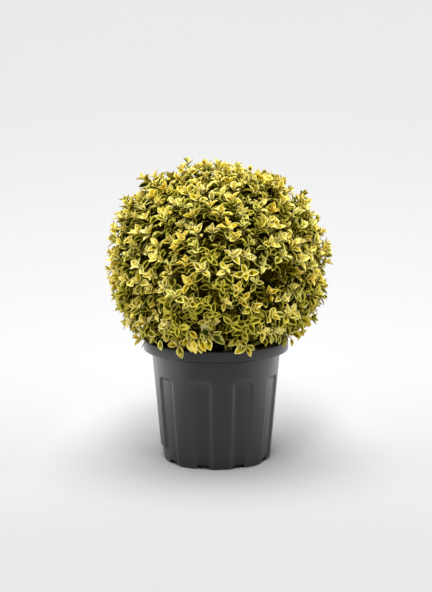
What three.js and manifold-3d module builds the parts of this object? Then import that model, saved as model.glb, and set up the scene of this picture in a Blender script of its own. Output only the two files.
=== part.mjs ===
// A clipped ball of gold-edged Japanese spindle, growing in a ribbed nursery pot.
// Millimetres, +Z up. The origin is on the ground under the middle of the pot, and the front faces -Y.
import * as THREE from "three";
import { mergeVertices } from "three/addons/utils/BufferGeometryUtils.js";
import Module from "manifold-3d";

// Pot
const POT_HEIGHT = 213;
const RIM_RADIUS = 125;
const RIM_BAND = 18.5; // height of the turned-down rim
const RIM_SKIRT = 2.6; // thickness of the rim's outer band
const RIM_EDGE = 1.5; // chamfer along the rim's edges
const WALL = 2; // moulded thickness of wall and floor
const WALL_TOP_RADIUS = 112.6; // outside of the wall, under the rim
const WALL_LOW_RADIUS = 97; // outside of the wall, at the step
const STEP_HEIGHT = 28; // below this the wall steps in to the foot ring
const STEP_IN = 2.8;
const STEP_FALL = 4.5;
const FOOT_RADIUS = 91; // outside of the foot ring, just above its rounded edge
const FOOT_EDGE = 5; // rounding of the foot ring's outer edge
const FOOT_BAND = 8; // width of the flat ring that stands on the ground
const FLOOR_LIFT = 4; // the floor stands this far off the ground
const FOOT_DRAFT = 1; // how far the foot ring's inner side leans
const POT_SEGMENTS = 54;

// Sunk panels round the pot, with the ribs between them
const PANEL_COUNT = 9;
const PANEL_PHASE = -14.6; // front angle of one panel's middle, in degrees, + to the right
const PANEL_HALF_ANGLE = 9.7;
const PANEL_DEPTH = 4.2;
const PANEL_TOP = 157;
const PANEL_CORNER = 8;
const NOTCH_HEIGHT = 7; // drain notch in the foot ring, below each panel
const NOTCH_TOP_HALF = 7.5;
const NOTCH_FOOT_HALF = 11;
const NOTCH_REACH = 74; // the notch is cut from here outwards

// Compost
const SOIL_TOP = 193;
const SOIL_SIDE = 188;
const SOIL_FLAT = 34; // radius of the level middle

// Short main stem, hidden in the ball
const STEM_HEIGHT = 58;
const STEM_WAIST = 10.5;
const STEM_TIP = 8;
const STEM_FLARE = 7;
const STEM_FLARE_FALL = 9; // how fast the flare dies away up the stem
const STEM_LOBES = 5; // root buttresses round the flare
const STEM_LOBE_DEPTH = 0.25;
const STEM_LEAN = new THREE.Vector2(3, -2);

// Clipped ball of foliage, measured from its widest level
const PLANT_SHIFT = 2; // it grows a little to the right of the pot's middle
const BALL_HEIGHT = 338;
const BALL_RADIUS = 197;
const BALL_UP = 176;
const BALL_DOWN = 166;
const BALL_SQUARENESS = 2.2; // 2 is an ellipsoid, more is fuller at the shoulders
const CORE_SHARE = 0.83; // dense twiggy core, as a share of the ball
const CORE_LOWEST = 217;
const CORE_FACETS = { round: 26, up: 14 };
const DOME_RADIUS = 52; // bare room under the core, round the stem
const DOME_HEIGHT = 212;
const DOME_FACETS = { round: 14, up: 8 };
const LEADER_SHARE = 0.5; // the mass's own stem rises to this share of the ball
const LEADER_FORK = 282; // lowest height at which branches leave it
const BRANCH_RISE = 0.6; // slope of the branches
const BRANCH_RADIUS = 4;

// Shoots, each ending in a rosette of two crossed pairs of leaves
const SHOOTS = 220;
const LOWEST_SINE = -0.8; // sine of the lowest shoot's angle below the widest level
const SHOOT_SHARE = 0.905;
const SHOOT_SPREAD = 0.035; // how much shoots differ in length, as a share of the ball
const SHOOT_WANDER = 0.06; // how far a shoot strays from an even spacing
const SHOOT_RISE = 0.25; // how much shoots turn upwards
const TWIG_LENGTH = 45; // straight end of a shoot, half of it in the core
const TWIG_BARE = 0.6; // a branch joins the straight end this share of its length below the tip
const TWIG_RADIUS = 3;
const LEAF_LENGTH = 35;
const LEAF_WIDTH = 20;
const LEAF_THICKNESS = 1.6;
const LEAF_WIDEST = 0.52; // share of a leaf's length where it is widest
const LEAF_FOLD = 2.6; // how far the edges stand above the midrib
const LEAF_DROOP = 3.5;
const LEAF_VARIES = 0.14;
const LEAF_TILT_VARIES = 8;
const LEAF_PAIRS = [
  { tilt: 72, size: 1 },
  { tilt: 46, size: 0.86 },
]; // degrees from the shoot, and share of full length
const LEAF_OVERREACH = 1.03; // leaf tips stand out of the clipped surface by this much at most
const SPINS_TRIED = 8; // a rosette without room is turned, then made smaller, then left off
const SIZES_TRIED = [1, 0.86, 0.72, 0.6];

const GAP = 0.3; // running clearance between neighbouring solids
const CUT_MARGIN = 2; // cuts run this far past the faces that they open
const MERGE_DISTANCE = 1e-4; // points closer than this are one
const POT_CLEARANCE = 1.5; // leaves stay this far from the filled pot
const SEED = 11;

const wasm = await Module();
wasm.setup();
const { Manifold } = wasm;
const UP = new THREE.Vector3(0, 0, 1);

const MATERIALS = {
  pot: new THREE.MeshStandardMaterial({ color: 0x3a3a3c, roughness: 0.55, metalness: 0 }),
  soil: new THREE.MeshStandardMaterial({ color: 0x2a1d14, roughness: 0.95, metalness: 0 }),
  bark: new THREE.MeshStandardMaterial({ color: 0x6b5a41, roughness: 0.85, metalness: 0 }),
  foliage: new THREE.MeshStandardMaterial({ color: 0xb3a446, roughness: 0.5, metalness: 0 }),
};

// A repeatable number from 0 to 1 for the given shoot or leaf and purpose.
function chance(index, purpose) {
  const wave = Math.sin(index * 12.9898 + purpose * 78.233 + SEED) * 43758.5453;
  return wave - Math.floor(wave);
}

// The same, from -1 to 1.
function sway(index, purpose) {
  return 2 * chance(index, purpose) - 1;
}

// A closed geometry as a solid that can be joined and cut.
function solidOf(geometry) {
  const bare = geometry.clone();
  bare.deleteAttribute("normal");
  bare.deleteAttribute("uv");
  const { attributes, index } = mergeVertices(bare, MERGE_DISTANCE);
  return new Manifold(
    new wasm.Mesh({
      numProp: 3,
      vertProperties: attributes.position.array,
      triVerts: Uint32Array.from(index.array),
    }),
  );
}

// A named mesh of a solid.
function meshOf(name, solid, material) {
  const { vertProperties, triVerts } = solid.getMesh();
  const geometry = new THREE.BufferGeometry();
  geometry.setAttribute("position", new THREE.BufferAttribute(vertProperties, 3));
  geometry.setIndex(new THREE.BufferAttribute(triVerts, 1));
  geometry.computeVertexNormals();
  const mesh = new THREE.Mesh(geometry, material);
  mesh.name = name;
  return mesh;
}

// The main body of a solid: loose scraps are dropped and sealed hollows filled.
function mainBody(solid) {
  return solid.decompose().reduce((a, b) => (a.volume() > b.volume() ? a : b));
}

// A solid of revolution about +Z from [radius, height] pairs, with its facets set between the panels' edges.
function turned(profile) {
  const points = profile.map(([radius, height]) => new THREE.Vector2(radius, height));
  const start = THREE.MathUtils.degToRad(PANEL_PHASE + 180 / POT_SEGMENTS);
  return solidOf(new THREE.LatheGeometry(points, POT_SEGMENTS, start).rotateX(Math.PI / 2));
}

// A flat shape extruded outwards from one radius to another, at each panel's angle.
function roundThePot(shape, fromRadius, toRadius) {
  const depth = toRadius - fromRadius;
  const pieces = [];
  for (let k = 0; k < PANEL_COUNT; k++) {
    const angle = THREE.MathUtils.degToRad(PANEL_PHASE + (k * 360) / PANEL_COUNT);
    const out = new THREE.Vector3(Math.sin(angle), -Math.cos(angle), 0);
    const along = new THREE.Vector3(Math.cos(angle), Math.sin(angle), 0);
    const place = new THREE.Matrix4().makeBasis(along, UP, out);
    place.setPosition(out.clone().multiplyScalar(fromRadius));
    const options = { depth, bevelEnabled: false, curveSegments: 3 };
    pieces.push(solidOf(new THREE.ExtrudeGeometry(shape, options).applyMatrix4(place)));
  }
  return Manifold.union(pieces);
}

// Radius of the pot's outer wall, carried straight down past the step.
function wallRadius(height) {
  const slope = (WALL_TOP_RADIUS - WALL_LOW_RADIUS) / (POT_HEIGHT - WALL - STEP_HEIGHT);
  return WALL_LOW_RADIUS + slope * (height - STEP_HEIGHT);
}

// A panel's outline, as wide as its angle asks at each height, with a round-cornered top.
function panelOutline() {
  const half = (height) => wallRadius(height) * Math.sin(THREE.MathUtils.degToRad(PANEL_HALF_ANGLE));
  const shoulder = PANEL_TOP - PANEL_CORNER;
  const shape = new THREE.Shape();
  shape.moveTo(-half(-CUT_MARGIN), -CUT_MARGIN);
  shape.lineTo(half(-CUT_MARGIN), -CUT_MARGIN);
  shape.lineTo(half(shoulder), shoulder);
  shape.quadraticCurveTo(half(PANEL_TOP), PANEL_TOP, half(PANEL_TOP) - PANEL_CORNER, PANEL_TOP);
  shape.lineTo(PANEL_CORNER - half(PANEL_TOP), PANEL_TOP);
  shape.quadraticCurveTo(-half(PANEL_TOP), PANEL_TOP, -half(shoulder), shoulder);
  return shape;
}

// What the panels take out of the wall.
function panels() {
  const low = -CUT_MARGIN;
  const high = PANEL_TOP + CUT_MARGIN;
  const ring = turned([
    [wallRadius(low) - PANEL_DEPTH, low],
    [RIM_RADIUS, low],
    [RIM_RADIUS, high],
    [wallRadius(high) - PANEL_DEPTH, high],
    [wallRadius(low) - PANEL_DEPTH, low],
  ]);
  return ring.intersect(roundThePot(panelOutline(), FOOT_RADIUS / 2, RIM_RADIUS));
}

// The pot's inner face, from its floor to a height, drawn in by a gap. It lies one wall's thickness
// behind the panels and widens above them.
function innerFace(floor, top, gap) {
  const narrow = PANEL_TOP + WALL;
  const wide = narrow + PANEL_DEPTH;
  return [
    [0, floor],
    [wallRadius(floor) - PANEL_DEPTH - WALL - gap, floor],
    [wallRadius(narrow) - PANEL_DEPTH - WALL - gap, narrow],
    [wallRadius(wide) - WALL - gap, wide],
    [wallRadius(top) - WALL - gap, top],
  ];
}

function nurseryPot() {
  const underRim = POT_HEIGHT - WALL;
  const bandFoot = POT_HEIGHT - RIM_BAND;
  const skirt = RIM_RADIUS - RIM_SKIRT;
  const footInside = FOOT_RADIUS - FOOT_EDGE - FOOT_BAND;
  const footRound = FOOT_EDGE * (1 - Math.SQRT1_2);
  const outside = turned([
    [0, FLOOR_LIFT],
    [footInside, FLOOR_LIFT],
    [footInside + FOOT_DRAFT, 0],
    [FOOT_RADIUS - FOOT_EDGE, 0],
    [FOOT_RADIUS - footRound, footRound],
    [FOOT_RADIUS, FOOT_EDGE],
    [WALL_LOW_RADIUS - STEP_IN, STEP_HEIGHT - STEP_FALL],
    [WALL_LOW_RADIUS, STEP_HEIGHT],
    [WALL_TOP_RADIUS, underRim],
    [skirt, underRim],
    [skirt, bandFoot],
    [RIM_RADIUS - RIM_EDGE, bandFoot],
    [RIM_RADIUS, bandFoot + RIM_EDGE],
    [RIM_RADIUS, POT_HEIGHT - RIM_EDGE],
    [RIM_RADIUS - RIM_EDGE, POT_HEIGHT],
    [0, POT_HEIGHT],
  ]);
  const above = POT_HEIGHT + CUT_MARGIN;
  const inside = turned([...innerFace(FLOOR_LIFT + WALL, above, 0), [0, above]]);
  const notch = new THREE.Shape([
    new THREE.Vector2(-NOTCH_FOOT_HALF, -CUT_MARGIN),
    new THREE.Vector2(NOTCH_FOOT_HALF, -CUT_MARGIN),
    new THREE.Vector2(NOTCH_TOP_HALF, NOTCH_HEIGHT),
    new THREE.Vector2(-NOTCH_TOP_HALF, NOTCH_HEIGHT),
  ]);
  const cuts = [panels(), inside, roundThePot(notch, NOTCH_REACH, RIM_RADIUS)];
  return mainBody(cuts.reduce((pot, cut) => pot.subtract(cut), outside));
}

function pottingSoil() {
  const side = innerFace(FLOOR_LIFT + WALL + GAP, SOIL_SIDE, GAP);
  return turned([...side, [SOIL_FLAT, SOIL_TOP], [0, SOIL_TOP]]);
}

// A limb along a curve. radiusAt gives its radius from the share of its length and the angle round it.
function limb(curve, radiusAt, sides, steps) {
  const geometry = new THREE.CylinderGeometry(1, 1, 1, sides, steps);
  const { normals, binormals } = curve.computeFrenetFrames(steps);
  const place = geometry.attributes.position;
  for (let i = 0; i < place.count; i++) {
    const share = place.getY(i) + 0.5;
    const step = Math.round(share * steps);
    const radius = radiusAt(share, Math.atan2(place.getZ(i), place.getX(i)));
    const point = curve.getPointAt(share);
    point.addScaledVector(normals[step], radius * place.getX(i));
    point.addScaledVector(binormals[step], -radius * place.getZ(i));
    place.setXYZ(i, point.x, point.y, point.z);
  }
  return solidOf(geometry);
}

function tapering(from, to) {
  return (share) => THREE.MathUtils.lerp(from, to, share);
}

// From here on heights are measured from the ball's widest level.
const stemFoot = new THREE.Vector3(0, 0, SOIL_TOP + GAP - BALL_HEIGHT);
const stemTip = stemFoot.clone().add(new THREE.Vector3(STEM_LEAN.x, STEM_LEAN.y, STEM_HEIGHT));

function mainStem() {
  const bend = new THREE.Vector3(0, 0, STEM_HEIGHT / 2);
  const curve = new THREE.CubicBezierCurve3(
    stemFoot,
    stemFoot.clone().add(bend),
    stemTip.clone().sub(bend),
    stemTip,
  );
  const taper = tapering(STEM_WAIST, STEM_TIP);
  const radiusAt = (share, angle) => {
    const lobes = 1 + STEM_LOBE_DEPTH * Math.cos(STEM_LOBES * angle);
    return taper(share) + STEM_FLARE * lobes * Math.exp(-STEM_FLARE_FALL * share);
  };
  return limb(curve, radiusAt, 3 * STEM_LOBES, 8);
}

// How far the clipped surface lies from the ball's middle in a direction.
function reach(direction) {
  const level = Math.hypot(direction.x, direction.y) / BALL_RADIUS;
  const upright = Math.abs(direction.z) / (direction.z > 0 ? BALL_UP : BALL_DOWN);
  return (level ** BALL_SQUARENESS + upright ** BALL_SQUARENESS) ** (-1 / BALL_SQUARENESS);
}

// The core: a smaller ball with a flat underside and a bare dome cut in it round the stem.
function core() {
  const geometry = new THREE.SphereGeometry(1, CORE_FACETS.round, CORE_FACETS.up).rotateX(Math.PI / 2);
  const place = geometry.attributes.position;
  const point = new THREE.Vector3();
  for (let i = 0; i < place.count; i++) {
    point.fromBufferAttribute(place, i).normalize();
    point.multiplyScalar(reach(point) * CORE_SHARE);
    place.setXYZ(i, point.x, point.y, point.z);
  }
  const dome = new THREE.SphereGeometry(DOME_RADIUS, DOME_FACETS.round, DOME_FACETS.up);
  dome.rotateX(Math.PI / 2);
  dome.translate(0, 0, DOME_HEIGHT - BALL_HEIGHT);
  return solidOf(geometry)
    .trimByPlane(UP.toArray(), CORE_LOWEST - BALL_HEIGHT)
    .subtract(solidOf(dome));
}

// The shoots, spread evenly over the ball along a golden-angle spiral: each one's tip and the way it points.
function growShoots() {
  const goldenAngle = Math.PI * (3 - Math.sqrt(5));
  const shoots = [];
  for (let k = 0; k < SHOOTS; k++) {
    const even = 1 - ((k + 0.5) / SHOOTS) * (1 - LOWEST_SINE);
    const sine = THREE.MathUtils.clamp(even + SHOOT_WANDER * sway(k, 1), LOWEST_SINE, 1);
    const level = Math.sqrt(1 - sine * sine);
    const angle = k * goldenAngle + SHOOT_WANDER * sway(k, 2);
    const tip = new THREE.Vector3(level * Math.sin(angle), -level * Math.cos(angle), sine);
    const axis = tip.clone().addScaledVector(UP, SHOOT_RISE * level).normalize();
    tip.multiplyScalar(reach(tip) * (SHOOT_SHARE + SHOOT_SPREAD * sway(k, 3)));
    shoots.push({ number: k, tip, axis });
  }
  return shoots;
}

// One leaf's corners, given the way it leaves the shoot: its tip, both edges and the keel under its midrib.
function leafCorners(shoot, quarter, out, size) {
  const { number, tip, axis } = shoot;
  const pair = LEAF_PAIRS[quarter % 2];
  const leafNumber = 4 * number + quarter;
  const tilt = THREE.MathUtils.degToRad(pair.tilt + LEAF_TILT_VARIES * sway(leafNumber, 5));
  const along = axis.clone().multiplyScalar(Math.cos(tilt)).addScaledVector(out, Math.sin(tilt));
  const face = axis.clone().multiplyScalar(Math.sin(tilt)).addScaledVector(out, -Math.cos(tilt));
  const side = axis.clone().cross(out);
  const scale = size * pair.size * (1 + LEAF_VARIES * sway(leafNumber, 6));
  const corner = (forward, sideways, lift) =>
    tip
      .clone()
      .addScaledVector(along, forward * LEAF_LENGTH * scale)
      .addScaledVector(side, sideways * LEAF_WIDTH * scale)
      .addScaledVector(face, lift);
  return {
    point: corner(1, 0, -LEAF_DROOP),
    before: corner(LEAF_WIDEST, -0.5, LEAF_FOLD),
    after: corner(LEAF_WIDEST, 0.5, LEAF_FOLD),
    keel: corner(LEAF_WIDEST, 0, -LEAF_DROOP / 2 - LEAF_THICKNESS),
  };
}

// A shoot's square twig with its four leaves, as one closed surface. The leaves spread from the twig's end,
// each folded along its midrib, and the twig's corners rise between them.
function rosette(shoot, spin, size) {
  const { tip, axis } = shoot;
  const aside = axis.clone().cross(new THREE.Vector3(1, 0, 0)).normalize();
  const around = (quarter) => aside.clone().applyAxisAngle(axis, spin + (quarter * Math.PI) / 2);
  const hub = tip.clone().addScaledVector(axis, TWIG_RADIUS / 2);
  const foot = tip.clone().addScaledVector(axis, -TWIG_LENGTH);
  const quarters = [0, 1, 2, 3].map((quarter) => ({
    ...leafCorners(shoot, quarter, around(quarter), size),
    corner: tip.clone().addScaledVector(around(quarter - 0.5), TWIG_RADIUS),
    root: foot.clone().addScaledVector(around(quarter - 0.5), TWIG_RADIUS),
  }));
  const facets = [];
  quarters.forEach(({ point, before, after, keel, corner, root }, quarter) => {
    const next = quarters[(quarter + 1) % 4];
    facets.push([hub, corner, before], [hub, before, point], [hub, point, after], [hub, after, next.corner]);
    facets.push([keel, before, corner], [keel, point, before], [keel, after, point]);
    facets.push([keel, next.corner, after], [keel, corner, next.corner]);
    facets.push([next.corner, corner, root], [next.corner, root, next.root]);
    facets.push([foot, next.root, root]);
  });
  const geometry = new THREE.BufferGeometry().setFromPoints(facets.flat());
  const points = quarters.flatMap(({ point, before, after }) => [point, before, after]);
  const inBall = points.every((p) => p.length() < LEAF_OVERREACH * reach(p.clone().normalize()));
  return { solid: solidOf(geometry), tip, inBall };
}

// The rosettes that find room: each clear of the pot and of every other.
function growRosettes(shoots) {
  const mouth = wallRadius(SOIL_TOP) - WALL - POT_CLEARANCE;
  const filledPot = turned([
    [0, 0],
    [RIM_RADIUS + POT_CLEARANCE, 0],
    [RIM_RADIUS + POT_CLEARANCE, POT_HEIGHT + POT_CLEARANCE],
    [mouth, POT_HEIGHT + POT_CLEARANCE],
    [mouth, SOIL_TOP + POT_CLEARANCE],
    [0, SOIL_TOP + POT_CLEARANCE],
  ]).translate([-PLANT_SHIFT, 0, -BALL_HEIGHT]);
  const touches = (a, b) => !a.intersect(b).isEmpty();
  const nearby = 2 * LEAF_LENGTH + TWIG_LENGTH;
  const grown = [];
  for (const shoot of shoots) {
    const near = grown.filter((other) => other.tip.distanceTo(shoot.tip) < nearby);
    const tries = SIZES_TRIED.flatMap((size) =>
      Array.from({ length: SPINS_TRIED }, (_, k) => ({ size, spin: k / SPINS_TRIED })),
    );
    for (const { size, spin } of tries) {
      const candidate = rosette(shoot, Math.PI * (spin + chance(shoot.number, 4)), size);
      if (!candidate.inBall || touches(candidate.solid, filledPot)) continue;
      if (near.some((other) => touches(candidate.solid, other.solid))) continue;
      grown.push(candidate);
      break;
    }
  }
  return grown.map(({ solid }) => solid);
}

// The inner part of a shoot, from the mass's own stem to its straight end.
function branch({ tip, axis }) {
  const end = tip.clone().addScaledVector(axis, -TWIG_BARE * TWIG_LENGTH);
  const lowest = LEADER_FORK - BALL_HEIGHT;
  const rise = BRANCH_RISE * Math.hypot(end.x, end.y);
  const fork = new THREE.Vector3(0, 0, THREE.MathUtils.clamp(end.z - rise, lowest, LEADER_SHARE * BALL_UP));
  return limb(new THREE.LineCurve3(fork, end), tapering(BRANCH_RADIUS, TWIG_RADIUS), 4, 1);
}

// The clipped ball: its own stem, branches and core, with the shoots' rosettes standing out of the core.
function clippedBall() {
  const foot = stemTip.clone().addScaledVector(UP, GAP);
  const top = new THREE.Vector3(0, 0, LEADER_SHARE * BALL_UP);
  const leader = limb(new THREE.LineCurve3(foot, top), tapering(STEM_TIP, BRANCH_RADIUS), 9, 1);
  const shoots = growShoots();
  return mainBody(Manifold.union([core(), leader, ...shoots.map(branch), ...growRosettes(shoots)]));
}

const pot = new THREE.Group();
pot.add(meshOf("nursery_pot", nurseryPot(), MATERIALS.pot));
pot.add(meshOf("potting_soil", pottingSoil(), MATERIALS.soil));

const plant = new THREE.Group();
plant.position.set(PLANT_SHIFT, 0, BALL_HEIGHT);
plant.add(meshOf("main_stem", mainStem(), MATERIALS.bark));
plant.add(meshOf("clipped_ball", clippedBall(), MATERIALS.foliage));

const pottedSpindleBall = new THREE.Group();
pottedSpindleBall.add(pot, plant);

export default pottedSpindleBall;
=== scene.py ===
# %% [markdown]
# # A clipped ball of gold-edged Japanese spindle in a nursery pot
#
# The real plant is a small evergreen shrub with yellow-edged leaves, clipped to a ball, standing in the
# thin dark pot that it was grown in. A CAD model already holds its sizes. This lesson loads that model as
# a fixed frame and builds the looks around it: a moulded pot, crumbly compost, a barky stem with its
# branches, and thousands of leaves in rosettes. Everything is in metres with +Z up. The origin is on the
# ground under the middle of the pot, and the front faces -Y.

import bpy
import numpy as np
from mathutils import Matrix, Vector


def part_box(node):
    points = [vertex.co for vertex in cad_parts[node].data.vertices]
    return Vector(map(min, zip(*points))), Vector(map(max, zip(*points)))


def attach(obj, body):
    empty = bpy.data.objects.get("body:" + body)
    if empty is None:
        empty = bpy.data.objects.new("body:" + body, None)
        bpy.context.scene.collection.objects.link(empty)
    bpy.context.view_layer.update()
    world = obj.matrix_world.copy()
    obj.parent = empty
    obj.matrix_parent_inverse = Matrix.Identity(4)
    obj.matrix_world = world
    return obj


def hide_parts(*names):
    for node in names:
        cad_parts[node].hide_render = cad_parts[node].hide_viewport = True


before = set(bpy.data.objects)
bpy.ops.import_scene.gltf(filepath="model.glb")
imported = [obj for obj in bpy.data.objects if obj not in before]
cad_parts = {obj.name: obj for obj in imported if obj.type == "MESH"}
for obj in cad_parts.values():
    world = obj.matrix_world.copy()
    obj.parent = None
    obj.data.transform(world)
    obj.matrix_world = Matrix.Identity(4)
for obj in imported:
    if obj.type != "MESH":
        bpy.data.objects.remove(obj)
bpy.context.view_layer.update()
print("CAD nodes:", sorted(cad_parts))

# %% [markdown]
# ## Numbers that repeat
#
# Plants look natural when nothing is quite regular, but a script has to give the same plant on each run.
# So every "random" number here is worked out from the number of a shoot or a leaf, by the same rule that
# the CAD model uses, or comes from a generator with a fixed seed. Ripples give smooth unevenness to the
# clods, the bark and the surface of the ball.

# %% Chance, sway and ripples
SEED = 11
RIPPLE_FREQUENCIES = (0.6, 1.5)  # lowest and highest, where 1 is one wave in a wavelength


def chance(index, purpose):
    """A repeatable number from 0 to 1: what a large multiple of a sine leaves after its whole part."""
    wave = np.sin(np.asarray(index) * 12.9898 + purpose * 78.233 + SEED) * 43758.5453
    return wave - np.floor(wave)


def sway(index, purpose):
    """The same from -1 to 1: twice the chance, less one."""
    return 2 * chance(index, purpose) - 1


def unit(vectors):
    """Each vector divided by its own length."""
    return vectors / np.linalg.norm(vectors, axis=-1, keepdims=True)


def smooth_step(low, high, value):
    """0 below low, 1 above high, and 3t^2 - 2t^3 of the share t of the way between them."""
    t = np.clip((value - low) / (high - low), 0, 1)
    return t * t * (3 - 2 * t)


def ripple(points, wavelength, seed, waves=7):
    """Smooth unevenness of about -1 to 1: a sum of sine waves of about one length, in seeded directions."""
    draw = np.random.default_rng(seed)
    ways = unit(draw.normal(size=(waves, 3))) * draw.uniform(*RIPPLE_FREQUENCIES, (waves, 1))
    phase = draw.uniform(0, 2 * np.pi, waves)
    return np.sin(points @ ways.T * (2 * np.pi / wavelength) + phase).sum(-1) / np.sqrt(waves)


def layered(points, layers, waves=7):
    """A sum of ripples. Each layer gives its share, its wavelength and its seed."""
    return sum(share * ripple(points, wavelength, seed, waves) for share, wavelength, seed in layers)


print("first chances:", np.round(chance(np.arange(4), 1), 3))

# %% [markdown]
# ## From arrays to meshes
#
# A mesh is a list of points and a list of faces. Both can be typed in, modelled by hand, or worked out.
# Here they are whole numpy arrays: a grid of points gives quads by counting along its rows, and many copies
# of one small grid are the same quads with larger numbers. foreach_set hands the arrays to Blender in one
# go, which is far quicker than a loop over vertices.

# %% Round places and grid faces
def full_turn(columns):
    """Even angles once round, in radians, without a last one that would repeat the first."""
    return np.linspace(0, 2 * np.pi, columns, endpoint=False)


def round_places(radius, front, height):
    """Points round the Z axis, at front angles in radians: 0 is towards -Y, and they grow towards +X."""
    radius, front, height = np.broadcast_arrays(radius, front, height)
    return np.stack([radius * np.sin(front), -radius * np.cos(front), height], -1)


def grid_faces(rows, columns, closed=False):
    """Quads between neighbouring points of a grid that is numbered row by row.

    Closed joins the last column to the first."""
    across = np.arange(columns if closed else columns - 1)
    corner = np.arange(rows - 1)[:, None] * columns + across
    beside = np.arange(rows - 1)[:, None] * columns + (across + 1) % columns
    return np.stack([corner, beside, beside + columns, corner + columns], -1).reshape(-1, 4)


def tube_faces(rows, columns):
    """The quads of a closed grid, and one many-sided face over its first row and one over its last."""
    first = np.arange(columns)
    return [grid_faces(rows, columns, closed=True), np.stack([first[::-1], first + (rows - 1) * columns])]


def repeated(faces, count, stride):
    """The same faces for each of count shapes that have stride points each."""
    return (faces + np.arange(count)[:, None, None] * stride).reshape(-1, faces.shape[1])


print("faces of a tube of 3 rings of 8 points:", [len(faces) for faces in tube_faces(3, 8)])


# %% Finished pieces
def make_mesh(name, points, face_sets, zones=None, smooth=True):
    """A mesh object from points and from arrays of faces, each array with one number of corners."""
    points = np.asarray(points, np.float32).reshape(-1, 3)
    corners = np.concatenate([faces.ravel() for faces in face_sets]).astype(np.int32)
    sizes = np.concatenate([np.full(len(faces), faces.shape[1]) for faces in face_sets])
    starts = np.cumsum(sizes) - sizes
    mesh = bpy.data.meshes.new(name)
    mesh.vertices.add(len(points))
    mesh.vertices.foreach_set("co", points.ravel())
    mesh.loops.add(len(corners))
    mesh.loops.foreach_set("vertex_index", corners)
    mesh.polygons.add(len(sizes))
    mesh.polygons.foreach_set("loop_start", starts.astype(np.int32))
    if zones is not None:
        mesh.polygons.foreach_set("material_index", np.asarray(zones, np.int32))
    mesh.polygons.foreach_set("use_smooth", np.full(len(sizes), smooth))
    mesh.update(calc_edges=True)
    piece = bpy.data.objects.new(name, mesh)
    bpy.context.scene.collection.objects.link(piece)
    print(f"{name}: {len(points)} points, {int((sizes - 2).sum())} triangles")
    return piece


def dress(piece, materials, slot, node):
    """Gives a piece its materials and its place on the CAD body, hides the node it replaces and prints the
    slot's name.
    """
    for material in materials:
        piece.data.materials.append(material)
    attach(piece, "root")
    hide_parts(node)
    print(f"{piece.name}: finished as {slot}, in place of {node}")


# %% [markdown]
# ## Writing shaders as sums
#
# A finish is a tree of nodes. Wiring each Math node by hand hides the idea, so a small class wraps a
# socket and lets Python's operators add the nodes: 0.4 + 0.2 * grain is two Math nodes. Every other node
# comes from one method that takes its type, its settings and what goes into its sockets.

# %% The Value and Finish classes
class Value:
    """A node's output that can stand in a sum. Each operator adds one Math node and gives its result."""

    def __init__(self, tree, socket):
        self.tree = tree
        self.socket = socket

    def reckon(self, operation, first, second):
        """A Math node with its two inputs filled."""
        node = self.tree.nodes.new("ShaderNodeMath")
        node.operation = operation
        feed(self.tree, node.inputs[0], first)
        feed(self.tree, node.inputs[1], second)
        return Value(self.tree, node.outputs[0])

    def __add__(self, other):
        return self.reckon("ADD", self, other)

    def __radd__(self, other):
        return self.reckon("ADD", other, self)

    def __sub__(self, other):
        return self.reckon("SUBTRACT", self, other)

    def __rsub__(self, other):
        return self.reckon("SUBTRACT", other, self)

    def __mul__(self, other):
        return self.reckon("MULTIPLY", self, other)

    def __rmul__(self, other):
        return self.reckon("MULTIPLY", other, self)


def feed(tree, socket, value):
    """Links a Value to a socket, or sets the socket to a plain number or colour."""
    if isinstance(value, Value):
        tree.links.new(value.socket, socket)
    else:
        socket.default_value = value


class Finish:
    """A material made of nodes around one Principled shader."""

    def __init__(self, name):
        self.material = bpy.data.materials.new(name)
        self.material.use_nodes = True
        self.tree = self.material.node_tree
        self.shader = self.tree.nodes["Principled BSDF"]

    def node(self, kind, settings, inputs, output=0):
        """Adds a node, makes its settings, fills its sockets with values or links, and gives one output."""
        node = self.tree.nodes.new(kind)
        for name, setting in settings.items():
            setattr(node, name, setting)
        for name, value in inputs.items():
            feed(self.tree, node.inputs[name], value)
        return Value(self.tree, node.outputs[output])

    def place(self):
        """Where a point lies on the object, in metres."""
        return self.node("ShaderNodeTexCoord", {}, {}, "Object")

    def stretched(self, scale):
        """The place with each axis multiplied by its own scale, which draws a pattern out or packs it."""
        return self.node("ShaderNodeMapping", {}, {"Vector": self.place(), "Scale": scale})

    def noise(self, scale, detail, vector=None):
        """Cloudy noise of about 0 to 1. A larger scale gives smaller clouds."""
        inputs = {"Vector": vector or self.place(), "Scale": scale, "Detail": detail}
        return self.node("ShaderNodeTexNoise", {}, inputs)

    def blend(self, share, first, second):
        """A colour between two colours."""
        return self.node("ShaderNodeMix", {"data_type": "RGBA"}, {0: share, 6: first, 7: second}, 2)

    def bump(self, height, distance):
        """A surface direction tilted by a height, which is at most distance metres."""
        return self.node("ShaderNodeBump", {}, {"Height": height, "Distance": distance}, "Normal")

    def clear(self, value, low, high):
        """A value spread from the range low to high on to 0 to 1, and kept there."""
        inputs = {"Value": value, "From Min": low, "From Max": high}
        return self.node("ShaderNodeMapRange", {"clamp": True}, inputs)

    def paint(self, sockets):
        """Fills the shader's sockets by name and gives the material."""
        for name, value in sockets.items():
            feed(self.tree, self.shader.inputs[name], value)
        return self.material


# %% [markdown]
# ## Camera
#
# The photograph looks a little down on the plant through a long lens: the rim is a flat ellipse and the
# foot's curve is only slightly deeper than the rim's. From those two curves the distance and the height of
# the camera follow, and the height of the pot in the picture gives the lens.

# %% Place the camera
CAMERA_PLACE = np.array([0.0, -3.2, 0.858])
CAMERA_AIM = np.array([0.0, 0.0, 0.286])
CAMERA_LENS = 114.5  # millimetres
PICTURE_AHEAD = unit(CAMERA_AIM - CAMERA_PLACE)
PICTURE_RIGHT = np.array([1.0, 0.0, 0.0])
PICTURE_UP = np.cross(PICTURE_RIGHT, PICTURE_AHEAD)


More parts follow.
